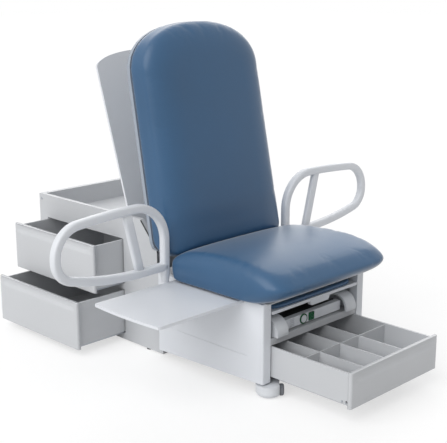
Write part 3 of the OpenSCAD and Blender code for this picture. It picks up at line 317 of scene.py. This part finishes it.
def skin(rings):
    # closed skin: quads between neighbouring rings, a fan from a middle point at each end
    count, around = rings.shape[:2]
    k, i = np.meshgrid(np.arange(count - 1), np.arange(around), indexing="ij")
    a, b = k * around + i, k * around + (i + 1) % around
    quads = np.stack([a, b, b + around, a + around], -1).reshape(-1, 4).tolist()
    i = np.arange(around)
    j = (i + 1) % around
    foot = np.stack([np.full(around, count * around), j, i], -1).tolist()
    last = (count - 1) * around
    top = np.stack([np.full(around, count * around + 1), last + i, last + j], -1).tolist()
    points = np.concatenate([rings.reshape(-1, 3), rings[:1].mean(1), rings[-1:].mean(1)])
    return points, quads + foot + top


def joined(*skins):
    # several closed skins as one list of points and faces
    points, faces, start = [], [], 0
    for some, theirs in skins:
        points.append(some)
        faces += [[start + k for k in face] for face in theirs]
        start += len(some)
    return np.concatenate(points), faces


def piece(name, shape, finish, body, slot, *stoodFor):
    made = meshFrom(name, *shape, finish)
    if stoodFor:
        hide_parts(*stoodFor)
    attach(made, body)
    return made


def softStep(t):
    # rises from 0 to 1 with level ends: 3 t^2 - 2 t^3
    t = np.clip(t, 0, 1)
    return t * t * (3 - 2 * t)


def evenShares(steps, power):
    # shares from -1 to 1, closer together towards both ends
    t = np.linspace(-1, 1, steps, endpoint=False)
    return np.sign(t) * (1 - (1 - np.abs(t)) ** power)


def squareRing(shares, front, rear):
    # unit square pulled in to a rounded one: each side point is scaled by
    # (1 + |t|^power)^(-1/power), with one power ahead of the middle and one behind
    side = np.repeat(np.arange(4), len(shares))
    t = np.tile(shares, 4)
    c, s = np.cos(side * np.pi / 2), np.sin(side * np.pi / 2)
    x, y = c - s * t, s + c * t
    power = np.where(y > 0, rear, front)
    r = (1 + np.abs(t) ** power) ** (-1 / power)
    return r * x, r * y


seat = {"width": 704, "nose": 118, "rear": 475, "thick": 134, "belly": 68, "crown": 8,
        "frontFall": 31, "rearFall": 24, "edge": 52, "foot": 10, "peak": 160, "noseCurve": 1.5,
        "fallCurve": 2.6, "square": 7, "rearSquare": 16, "base": 377.3, "lowSteps": 14,
        "highSteps": 26, "topSteps": 26, "sideSteps": 64}


def seatRings(s):
    shares = evenShares(s["sideSteps"], 1.8)
    halfW, halfY = s["width"] / 2, (s["rear"] + s["nose"]) / 2
    mid = (s["rear"] - s["nose"]) / 2

    def topAt(x, y):
        # falls away from its peak to the nose and to the rear, and crowns across
        ahead = np.maximum(s["peak"] - y, 0) / (s["peak"] + s["nose"] - s["edge"])
        behind = np.maximum(y - s["peak"], 0) / (s["rear"] - s["edge"] - s["peak"])
        fall = s["frontFall"] * ahead ** s["fallCurve"] + s["rearFall"] * behind ** 2
        return s["thick"] + s["crown"] * np.maximum(0, 1 - (x / halfW) ** 2) - fall

    rings = []
    for p in np.cos(np.linspace(0, np.pi / 2, s["lowSteps"] + 1))[:-1]:
        # below the belly: sides turn in a little, the nose rises from the posts
        side = s["foot"] * (1 - np.sqrt(1 - p * p))
        front = s["nose"] * (1 - (1 - p ** s["noseCurve"]) ** (1 / s["noseCurve"]))
        half = (s["rear"] - side + s["nose"] - front) / 2
        middle = (s["rear"] - side - s["nose"] + front) / 2
        x, y = squareRing(shares, s["square"], s["rearSquare"])
        z = np.full(x.shape, s["base"] + s["belly"] * (1 - p))
        rings.append(np.stack([(halfW - side) * x, middle + half * y, z], -1))
    for a in np.linspace(0, np.pi / 2, s["highSteps"] + 1):
        d = s["edge"] * (1 - np.cos(a))
        x, y = squareRing(shares, s["square"], s["rearSquare"])
        x, y = (halfW - d) * x, mid + (halfY - d) * y
        z = s["base"] + s["belly"] + (topAt(x, y) - s["belly"]) * np.sin(a)
        rings.append(np.stack([x, y, z], -1))
    for f in np.linspace(1, 0, s["topSteps"] + 1)[1:-1]:
        x, y = squareRing(shares, s["square"], s["rearSquare"])
        x, y = (halfW - s["edge"]) * f * x, mid + (halfY - s["edge"]) * f * y
        rings.append(np.stack([x, y, s["base"] + topAt(x, y)], -1))
    return np.array(rings)


def coordinates(data):
    held = np.empty(len(data.vertices) * 3)
    data.vertices.foreach_get("co", held)
    return held.reshape(-1, 3)


cloth = {"voxel": 0.008, "quality": 4, "pressure": 4, "frames": 20, "cap": 5}


def puffed(made, s, shareOf):
    # unpinned cloth blown up by air, without gravity. Left alone it moves much further than a
    # cushion would, so each point keeps only the direction of its move and a length up to the
    # cap in millimetres, times its share, which is nothing where the cushion rests on something
    scene = bpy.context.scene
    finish = made.data.materials[0]
    even = made.modifiers.new("even", "REMESH")
    even.mode = "VOXEL"
    even.voxel_size = s["voxel"]
    graph = bpy.context.evaluated_depsgraph_get()
    data = bpy.data.meshes.new_from_object(made.evaluated_get(graph))
    made.modifiers.clear()
    made.data = data
    start = coordinates(data)
    air = made.modifiers.new("air", "CLOTH")
    air.settings.quality = s["quality"]
    air.settings.use_pressure = True
    air.settings.uniform_pressure_force = s["pressure"]
    air.settings.effector_weights.gravity = 0
    air.point_cache.frame_start = 1
    air.point_cache.frame_end = s["frames"]
    for moment in range(1, s["frames"] + 1):
        scene.frame_set(moment)
    graph = bpy.context.evaluated_depsgraph_get()
    blown = bpy.data.meshes.new_from_object(made.evaluated_get(graph))
    move = coordinates(blown) - start
    made.modifiers.clear()
    scene.frame_set(1)
    far = np.linalg.norm(move, axis=1, keepdims=True)
    move *= np.minimum(1, s["cap"] * mm / np.maximum(far, 1e-9)) * shareOf(start)[:, None]
    data.vertices.foreach_set("co", (start + move).ravel())
    data.materials.clear()
    data.materials.append(finish)
    data.polygons.foreach_set("use_smooth", np.full(len(data.polygons), True))
    finer = made.modifiers.new("finer", "SUBSURF")
    finer.levels = finer.render_levels = 1
    print(made.name, "blown up, points moved by up to", round(float(far.max()) / mm, 1), "mm")


def seatShare(at):
    # the underside and the end behind the back cushion stay
    high = at[:, 2] / mm - seat["base"]
    behind = seat["rear"] - (at[:, 1] / mm + midY)
    return softStep((high - 30) / 60) * softStep((behind - 10) / 80)


seatPad = piece("seatPad", skin(seatRings(seat)), "vinyl", "base", "vinyl", "seat_cushion")
puffed(seatPad, cloth, seatShare)
print("seat cushion made")


back = {"place": (450, 495), "tilt": 11, "long": 903, "wide": 672, "taper": 22, "arch": 200,
        "archPower": 2.2, "thick": 126, "crown": 14, "corner": 46, "leastCorner": 4, "foot": 30,
        "footRise": 50, "footTurn": 50, "footKeep": 0.75, "rearEdge": 14, "middle": 0.46,
        "edgeIn": 150, "edgeDeep": 62, "edgeSteps": 30, "topSteps": 16, "lowSteps": 20,
        "sideSteps": 40, "archSteps": 70}


def backOutline(s, d, foot):
    # half outline drawn in by d: a straight foot, a round corner, a tapering side and an
    # arch x = w cos^e a, y = h sin^e a; the other half mirrors it
    corner = max(s["corner"] - d, s["leastCorner"])
    high = s["long"] - s["arch"]

    def halfAt(y):
        return s["wide"] / 2 - s["taper"] / 2 * np.maximum(0, y) / high - d

    low, w, e = d - foot, halfAt(0), 2 / s["archPower"]
    f = np.linspace(0, 1, s["lowSteps"], endpoint=False)
    a = np.linspace(0, np.pi / 2, 10)
    y = np.linspace(low + corner, high, s["sideSteps"] + 1)[1:]
    c = np.pi / 2 * np.linspace(0, 1, s["archSteps"] + 1)[1:]
    x = np.concatenate([(w - corner) * f, w - corner + corner * np.sin(a), halfAt(y),
                        halfAt(high) * np.cos(c) ** e])
    z = np.concatenate([np.full(f.shape, low), low + corner - corner * np.cos(a), y,
                        high + (s["arch"] - d) * np.sin(c) ** e])
    half = np.stack([x, z], -1)
    return np.concatenate([half, half[-2:0:-1] * (-1, 1)])


def backRings(s):
    turn = math.radians(s["tilt"])

    def ring(d, depth, crown, foot, f=1.0):
        # crown taken forwards: (1 - u^2)(1 - v^2) of it, u and v shares of the half sizes
        q = backOutline(s, d, foot + s["footKeep"] * d)
        mid = s["long"] * s["middle"]
        x, z = q[:, 0] * f, mid + (q[:, 1] - mid) * f
        half = s["wide"] / 2 - s["taper"] / 2 * np.maximum(0, z) / (s["long"] - s["arch"])
        v = (z - (s["long"] - s["foot"]) / 2) / ((s["long"] + s["foot"]) / 2)
        rise = np.maximum(0, 1 - (x / half) ** 2) * np.maximum(0, 1 - v * v)
        return np.stack([x, depth - crown * rise, z], -1)

    def footAt(depth):
        # the lower rear edge turns up
        q = max(0, depth - s["footTurn"]) / (s["thick"] - s["footTurn"])
        return s["foot"] - s["footRise"] * (1 - math.sqrt(1 - q * q))

    rings = []
    for a in np.linspace(0, np.pi / 2, 7):
        depth = s["thick"] - s["rearEdge"] * (1 - math.cos(a))
        rings.append(ring(s["rearEdge"] * (1 - math.sin(a)), depth, 0, footAt(depth)))
    for depth in np.linspace(s["thick"] - s["rearEdge"], s["edgeDeep"], 8)[1:-1]:
        rings.append(ring(0, depth, 0, footAt(depth)))
    for a in np.linspace(0, np.pi / 2, s["edgeSteps"]):
        # a broad roll, tighter at the outside: in by w (1 - cos a), forwards by d sin^0.8 a
        depth = s["edgeDeep"] * (1 - math.sin(a) ** 0.8)
        rings.append(ring(s["edgeIn"] * (1 - math.cos(a)), depth, s["crown"], footAt(depth)))
    for f in np.linspace(1, 0, s["topSteps"])[1:-1]:
        rings.append(ring(s["edgeIn"], 0, s["crown"], s["foot"], f))
    rings = np.array(rings)
    x, d, z = rings[..., 0], rings[..., 1], rings[..., 2]
    return np.stack([x, s["place"][0] + d * math.cos(turn) + z * math.sin(turn),
                     s["place"][1] - d * math.sin(turn) + z * math.cos(turn)], -1)


def backShare(at):
    # the shell's side and the foot behind the seat stay
    turn = math.radians(back["tilt"])
    y = at[:, 1] / mm + midY - back["place"][0]
    z = at[:, 2] / mm - back["place"][1]
    depth = y * math.cos(turn) - z * math.sin(turn)
    high = y * math.sin(turn) + z * math.cos(turn)
    return softStep((back["thick"] - 20 - depth) / 50) * softStep((high - 60) / 100)


backPad = piece("backPad", skin(backRings(back)), "vinyl", "backrest", "vinyl",
                "backrest_cushion")
puffed(backPad, cloth, backShare)
print("back cushion made")


footPad = {"wide": 248, "long": 192, "middle": 198, "base": 335.3, "thick": 14, "edge": 7,
           "crown": 3, "square": 10, "under": 2, "edgeSteps": 8, "topSteps": 14, "sideSteps": 40}


def footPadRings(s):
    shares = evenShares(s["sideSteps"], 1.8)

    def ring(d, height, crown, f=1.0):
        x, y = squareRing(shares, s["square"], s["square"])
        u, v = x * (1 - d / s["wide"]) * f, y * (1 - d / s["long"]) * f
        rise = crown * np.maximum(0, 1 - u * u) * np.maximum(0, 1 - v * v)
        return np.stack([s["wide"] * u, s["middle"] + s["long"] * v, s["base"] + height + rise],
                        -1)

    rings = [ring(s["under"] * (1 - math.sin(a)), s["under"] * (1 - math.cos(a)), 0)
             for a in np.linspace(0, np.pi / 2, 4)]
    for a in np.linspace(0, np.pi / 2, s["edgeSteps"]):
        rings.append(ring(s["edge"] * (1 - math.cos(a)),
                          s["thick"] - s["edge"] * (1 - math.sin(a)), s["crown"]))
    for f in np.linspace(1, 0, s["topSteps"])[1:-1]:
        rings.append(ring(s["edge"], s["thick"], s["crown"], f))
    return np.array(rings)


footrestPad = piece("footrestPad", skin(footPadRings(footPad)), "vinyl", "footrest", "vinyl",
                    "footrest_pad")
print("foot pad made")


front = {"plate": 20, "strip": 24, "shoulder": 20, "recess": 8.5, "fade": 55, "lip": 5,
         "bulge": 4.6, "sideRound": 9, "topRound": 3, "fine": 12, "wideSteps": 60,
         "tallSteps": 80}


def graded(length, edge, fine, coarse):
    # stations along a side, close together in the edge bands at both ends
    near = edge * (1 - np.cos(np.linspace(0, np.pi / 2, fine)))
    return np.concatenate([near, np.linspace(edge, length - edge, coarse)[1:-1],
                           length - near[::-1]])


def rounded(distance, radius):
    # how far a quarter round falls short of its corner, by the distance from the edge
    return radius - np.sqrt(np.maximum(0, radius ** 2 - np.maximum(0, radius - distance) ** 2))


def frontSkin(s, corner, along, wide, tall):
    # height field on a plate: a bulge, less a strip under the top lip that ramps back over the
    # shoulder and fades at both ends, less the rounds of the edges
    u = graded(wide, s["sideRound"], s["fine"], s["wideSteps"])
    v = graded(tall, s["topRound"], s["fine"], s["tallSteps"])
    across, down = np.meshgrid(u, v, indexing="ij")
    ends = softStep(across / s["fade"]) * softStep((wide - across) / s["fade"])
    strip = softStep((down - 1) / s["lip"]) * (1 - softStep((down - s["strip"]) / s["shoulder"]))
    swell = (1 - (2 * across / wide - 1) ** 2) * (1 - (2 * down / tall - 1) ** 2)
    out = s["plate"] - s["bulge"] * (1 - swell) - s["recess"] * ends * strip
    out -= rounded(np.minimum(across, wide - across), s["sideRound"])
    out -= rounded(np.minimum(down, tall - down), s["topRound"])
    # the border goes round once, and a second border closes it on the drawer's side
    n, m = across.shape
    grid = np.arange(n * m).reshape(n, m)
    quads = np.stack([grid[:-1, :-1], grid[1:, :-1], grid[1:, 1:], grid[:-1, 1:]], -1)
    border = np.concatenate([grid[:, 0], grid[-1, 1:], grid[-2::-1, -1], grid[0, -2:0:-1]])
    flat = np.stack([across, out, down], -1).reshape(-1, 3)
    rear = flat[border] * (1, 0, 1)
    flat = np.concatenate([flat, rear, [[wide / 2, 0, tall / 2]]])
    i = np.arange(len(border))
    j = (i + 1) % len(border)
    walls = np.stack([border[i], n * m + i, n * m + j, border[j]], -1)
    fan = np.stack([n * m + i, np.full(len(border), len(flat) - 1), n * m + j], -1)
    faces = quads.reshape(-1, 4).tolist() + walls.tolist() + fan.tolist()
    # out goes towards -Y for a front across X, and towards -X for a front across Y
    points = np.array(corner, float) - (0, 0, 1) * flat[:, 2:]
    points[:, along] += flat[:, 0]
    points[:, 1 - along] -= flat[:, 1]
    return points, faces


for name, body, corner, along, wide, tall in (
        ("frontDrawerFace", "front_drawer", (-270, -370.5, 205), 0, 540, 137),
        ("upperDrawerFace", "upper_drawer", (-435, 822, 464), 1, 570, 206),
        ("lowerDrawerFace", "lower_drawer", (-529, 822, 238), 1, 570, 206)):
    piece(name, frontSkin(front, corner, along, wide, tall), "cabinetGrey", body, "panel_grey",
          body + "_front")
print("drawer fronts made")


loop = {"place": (360, 479, 433), "turn": 1.6, "wide": 34, "thick": 33, "square": 3.6,
        "height": 258, "bend": 150, "end": 112, "nose": 85, "reach": 532, "endHeight": 127,
        "join": 8, "lowStart": 120, "braceTop": 198, "braceFoot": 132, "braceWide": 39,
        "braceThick": 24, "foot": -87.5, "round": 32, "roundUpTo": 30, "squaredOver": 30,
        "pin": 11, "pinFoot": -133, "arcSteps": 40, "around": 40}


def arc(centre, radius, fromAngle, toAngle, steps):
    a = np.radians(np.linspace(fromAngle, toAngle, steps))
    return np.stack([centre[0] + radius * np.cos(a), centre[1] + radius * np.sin(a)], -1)


def bowTo(s, run, drop, radius):
    # radius and turn of the flat bow that leads by a short straight into a bend
    flat = (run ** 2 + drop ** 2 - radius ** 2 - s["join"] ** 2) / (2 * (drop - radius))
    return flat, math.degrees(math.atan2(run, flat - drop)
                              - math.atan2(s["join"], flat - radius))


def loopPath(s):
    # up the post, over the inner bend, along the top bow, round the end and back below
    end = (s["reach"] - s["end"], s["endHeight"] + s["join"])
    nose = (s["reach"] - s["nose"], s["endHeight"])
    topStart = s["bend"] + s["join"]
    topR, topTurn = bowTo(s, end[0] - topStart, s["height"] - end[1], s["end"])
    lowR, lowTurn = bowTo(s, nose[0] - s["lowStart"], nose[1], s["nose"])
    n = s["arcSteps"]
    return np.concatenate([
        np.stack([np.zeros(20), np.linspace(s["foot"], s["height"] - s["bend"] - 2, 20)], -1),
        arc((s["bend"], s["height"] - s["bend"]), s["bend"], 180, 90, n),
        arc((topStart, s["height"] - topR), topR, 90, 90 - topTurn, n // 2),
        arc(end, s["end"], 90 - topTurn, 0, n), arc(nose, s["nose"], 0, lowTurn - 90, n),
        arc((s["lowStart"], lowR), lowR, lowTurn - 90, -90, n // 2)[:-1],
        np.stack([np.linspace(s["lowStart"], 0, 10), np.zeros(10)], -1)])


def swept(path, wide, thick, power, around):
    # section x = w/2 cos^(2/p), y = t/2 sin^(2/p) with their signs, set square to the path
    along = np.gradient(path, axis=0)
    along /= np.linalg.norm(along, axis=1, keepdims=True)
    a = np.linspace(0, 2 * np.pi, around, endpoint=False) + np.pi / around
    w = wide / 2 * np.sign(np.cos(a)) * np.abs(np.cos(a)) ** (2 / power)
    t = thick / 2 * np.sign(np.sin(a)) * np.abs(np.sin(a)) ** (2 / power)
    x = path[:, :1] - along[:, 1:] * w
    z = path[:, 1:] + along[:, :1] * w
    return np.stack([x, np.broadcast_to(t, x.shape), z], -1)


def placedLoop(s, shape, side):
    # turned a little forwards about the post and mirrored for the sitter's right
    points, faces = shape
    a = math.radians(-s["turn"])
    x = points[:, 0] * math.cos(a) - points[:, 1] * math.sin(a)
    y = points[:, 0] * math.sin(a) + points[:, 1] * math.cos(a)
    return np.stack([side * (s["place"][0] + x), s["place"][1] + y,
                     s["place"][2] + points[:, 2]], -1), faces


def line(start, stop, steps=6):
    return np.linspace(start, stop, steps)


# the post is round where it turns beside the board, and squares off above it
loopLine = loopPath(loop)
squared = softStep((loopLine[:, 1:] - loop["foot"] - loop["roundUpTo"]) / loop["squaredOver"])
loopShape = joined(
    skin(swept(loopLine, loop["round"] + (loop["wide"] - loop["round"]) * squared,
               loop["round"] + (loop["thick"] - loop["round"]) * squared,
               2 + (loop["square"] - 2) * squared, loop["around"])),
    skin(swept(line((loop["braceFoot"], 0), (loop["braceTop"], loop["height"])),
               loop["braceWide"], loop["braceThick"], loop["square"], loop["around"])),
    skin(swept(line((0, loop["pinFoot"]), (0, loop["foot"] + 4)), 2 * loop["pin"],
               2 * loop["pin"], 2, loop["around"])))
for side, hand in ((-1, "right"), (1, "left")):
    piece(hand + "ArmLoop", placedLoop(loop, loopShape, side), "shellWhite", hand + "_arm",
          "shell_white", "arm_loop_" + hand)
print("arm loops made")


shadeMats = {"thick": 3, "inset": 4, "square": 40, "sideSteps": 24, "steps": 8, "sunk": 0.02}


def shadeMatSkin(s, low, high):
    # thin mat with rounded corners and a rounded upper edge, over a drawer's floor, laid dark as
    # painted shade for the drawer's shaded inside
    (x0, y0, z), (x1, y1, _) = low, high
    shares = evenShares(s["sideSteps"], 1.8)
    x, y = squareRing(shares, s["square"], s["square"])
    rings = []
    for a in np.linspace(0, np.pi / 2, s["steps"]):
        d = s["inset"] + s["thick"] * (1 - math.cos(a))
        rings.append(np.stack([(x0 + x1) / 2 + ((x1 - x0) / 2 - d) * x,
                               (y0 + y1) / 2 + ((y1 - y0) / 2 - d) * y,
                               np.full(x.shape, z + s["thick"] * math.sin(a))], -1))
    base = rings[0] - (0, 0, s["sunk"])
    return skin(np.array([base] + rings))


# painted shade: dark mats that stand for the shade inside the drawers
for name, body, low, high in (
        ("upperDrawerShadeMat", "upper_drawer", (-430, 846, 268.4), (38, 1368, 268.4)),
        ("lowerDrawerShadeMat", "lower_drawer", (-524, 846, 42.4), (-56, 1368, 42.4))):
    piece(name, shadeMatSkin(shadeMats, low, high), "darkPlastic", body, "dark")
print("drawer mats laid")


darkCords = {"radius": 2.6, "around": 12, "out": 279.2, "upright": ((613, 385), (613, 441)),
         "slant": ((616, 452), (716, 563)), "uprightSteps": 8, "slantSteps": 20}


def tubeSkin(path, radius, around):
    # round section carried along a path in space, its frame turned from the X axis
    along = np.gradient(path, axis=0)
    along /= np.linalg.norm(along, axis=1, keepdims=True)
    side = np.cross(along, np.broadcast_to((1.0, 0.0, 0.0), along.shape))
    side /= np.linalg.norm(side, axis=1, keepdims=True)
    up = np.cross(along, side)
    a = np.linspace(0, 2 * np.pi, around, endpoint=False)[None, :, None]
    return skin(path[:, None] + radius * (np.cos(a) * side[:, None] + np.sin(a) * up[:, None]))


# a dark cord, painted shade for the shadow line at the side wall's notch, follows the notch's edge:
# straight up, then along the slant
notchPath = np.concatenate([
    np.linspace((-darkCords["out"], *darkCords[part][0]), (-darkCords["out"], *darkCords[part][1]),
                darkCords[part + "Steps"]) for part in ("upright", "slant")])
piece("notchShadeCord", tubeSkin(notchPath, darkCords["radius"], darkCords["around"]), "darkPlastic", "base",
      "dark")


rimCord = {"half": 250, "rear": 1415.8, "height": 559, "sag": 0.4, "across": 2.4, "down": 4.2,
        "around": 16, "steps": 60}


def rimCordSkin(s):
    # an oval dark cord just under the rim, a dark line along the inside of the cabinet's rear wall,
    # that
    #     sags by a half sine between its ends
    t = np.linspace(0, 1, s["steps"])[:, None]
    a = np.linspace(0, 2 * np.pi, s["around"], endpoint=False)[None, :]
    x = np.broadcast_to(s["half"] * (2 * t - 1), (s["steps"], s["around"]))
    y = np.broadcast_to(s["rear"] + s["across"] * np.cos(a), x.shape)
    z = s["height"] - s["sag"] * np.sin(np.pi * t) + s["down"] * np.sin(a)
    return skin(np.stack([x, y, z], -1))


piece("rimDarkCord", rimCordSkin(rimCord), "darkPlastic", "base", "dark")
print("trims fitted")


screws = {"radius": 7, "tall": 2.6, "around": 24, "steps": 8, "socket": 2.6, "deep": 1.6}
smallScrews = {**screws, "radius": 4.6}


def screwSkin(s, place, out):
    # domed head turned about its axis: r from the rim to the socket, height cos-shaped
    a = np.linspace(0, 2 * np.pi, s["around"], endpoint=False)
    t = np.linspace(1, 0, s["steps"])
    radius = np.concatenate([[s["radius"]], s["radius"] * np.sin(t * np.pi / 2) *
                             (1 - s["socket"] / s["radius"]) + s["socket"],
                             [s["socket"] * 0.98, s["socket"] * 0.96]])
    radius[1] = s["radius"]
    high = np.concatenate([[-0.5], s["tall"] * (1 - (radius[1:-2] / s["radius"]) ** 2) ** 0.5,
                           [s["tall"] - s["deep"] * 0.5, s["tall"] - s["deep"]]])
    out = np.array(out, float)
    first = np.cross(out, (0.0, 0.6, 0.8))
    first /= np.linalg.norm(first)
    second = np.cross(out, first)
    ring = np.cos(a)[:, None] * first + np.sin(a)[:, None] * second
    return skin(np.array(place) + radius[:, None, None] * ring + high[:, None, None] * out)


baseScrews = [((-279, 640, 460), (-1, 0, 0)), ((-277.6, 1420, 30), (-1, 0, 0)),
              ((-277.6, 1420, 545), (-1, 0, 0)), ((277.6, 640, 440), (1, 0, 0)),
              ((277.6, 1420, 30), (1, 0, 0)), ((277.6, 1420, 545), (1, 0, 0)),
              ((-250, 1438, 545), (0, 1, 0)), ((250, 1438, 545), (0, 1, 0)),
              ((-250, 1438, 30), (0, 1, 0)), ((250, 1438, 30), (0, 1, 0))]
piece("bodyScrews", joined(*[screwSkin(screws, at, out) for at, out in baseScrews]), "steel",
      "base", "steel")
piece("drawerScrews", joined(*[screwSkin(smallScrews, at, out) for at, out in (
    ((-258, -357, 86), (-1, 0, 0)), ((258, -357, 86), (1, 0, 0)))]), "darkPlastic",
    "front_drawer", "dark")
print("screws set")


studio = {"floorSize": 60, "floorShade": 0.78, "cameraShare": 0.5, "cameraGlow": 1.24,
          "world": 0.44,
          "suns": [
              {"name": "leftSun", "towards": (-0.74, -0.03, 0.673), "strength": 2.1, "spread": 60},
              {"name": "rimSun", "towards": (0.62, 0.62, 0.48), "strength": 1.0, "spread": 60},
          ]}


def makeFloor(s):
    # a wide plane: to the camera it is white with the object's shadow on it
    half = s["floorSize"] / 2
    points = np.array([(-half, -half, 0), (half, -half, 0), (half, half, 0), (-half, half, 0)])
    data = bpy.data.meshes.new("studioFloor")
    data.from_pydata(points.tolist(), [], [(0, 1, 2, 3)])
    floor = bpy.data.objects.new("studioFloor", data)
    bpy.context.scene.collection.objects.link(floor)
    made, tree, shader = newMaterial("floorWhite")
    tree.nodes.remove(shader)
    out = tree.nodes["Material Output"]
    plain = addNode(tree, "ShaderNodeBsdfDiffuse", {"Color": (s["floorShade"],) * 3 + (1,)})
    glow = addNode(tree, "ShaderNodeEmission", {"Strength": s["cameraGlow"], "Color": (1, 1, 1, 1)})
    shown = addNode(tree, "ShaderNodeMixShader", {"Fac": 1 - s["cameraShare"]})
    tree.links.new(plain.outputs[0], shown.inputs[1])
    tree.links.new(glow.outputs[0], shown.inputs[2])
    path = addNode(tree, "ShaderNodeLightPath")
    seen = addNode(tree, "ShaderNodeMath", operation="MAXIMUM")
    tree.links.new(path.outputs["Is Camera Ray"], seen.inputs[0])
    tree.links.new(path.outputs["Is Glossy Ray"], seen.inputs[1])
    final = addNode(tree, "ShaderNodeMixShader")
    tree.links.new(seen.outputs[0], final.inputs["Fac"])
    tree.links.new(plain.outputs[0], final.inputs[1])
    tree.links.new(shown.outputs[0], final.inputs[2])
    tree.links.new(final.outputs[0], out.inputs["Surface"])
    data.materials.append(made)


def makeWorld(s):
    # white to the camera and in reflections, an even grey light on the object
    world = bpy.data.worlds.new("studioWorld")
    bpy.context.scene.world = world
    world.use_nodes = True
    tree = world.node_tree
    background = tree.nodes["Background"]
    background.inputs["Color"].default_value = (1, 1, 1, 1)
    path = addNode(tree, "ShaderNodeLightPath")
    seen = addNode(tree, "ShaderNodeMath", operation="MAXIMUM")
    tree.links.new(path.outputs["Is Camera Ray"], seen.inputs[0])
    tree.links.new(path.outputs["Is Glossy Ray"], seen.inputs[1])
    level = ranged(tree, seen.outputs[0], s["world"], 1, 0, 1)
    tree.links.new(level.outputs["Result"], background.inputs["Strength"])


def makeSuns(s):
    # wide even suns light the object and the whole floor alike, so the floor has no horizon
    for sun in s["suns"]:
        data = bpy.data.lights.new(sun["name"], "SUN")
        data.energy = sun["strength"]
        data.angle = math.radians(sun["spread"])
        made = bpy.data.objects.new(sun["name"], data)
        made.rotation_mode = "QUATERNION"
        made.rotation_quaternion = (-Vector(sun["towards"])).to_track_quat("-Z", "Y")
        bpy.context.scene.collection.objects.link(made)


makeFloor(studio)
makeWorld(studio)
makeSuns(studio)
bpy.context.scene.view_settings.view_transform = "Standard"
print("studio lit")
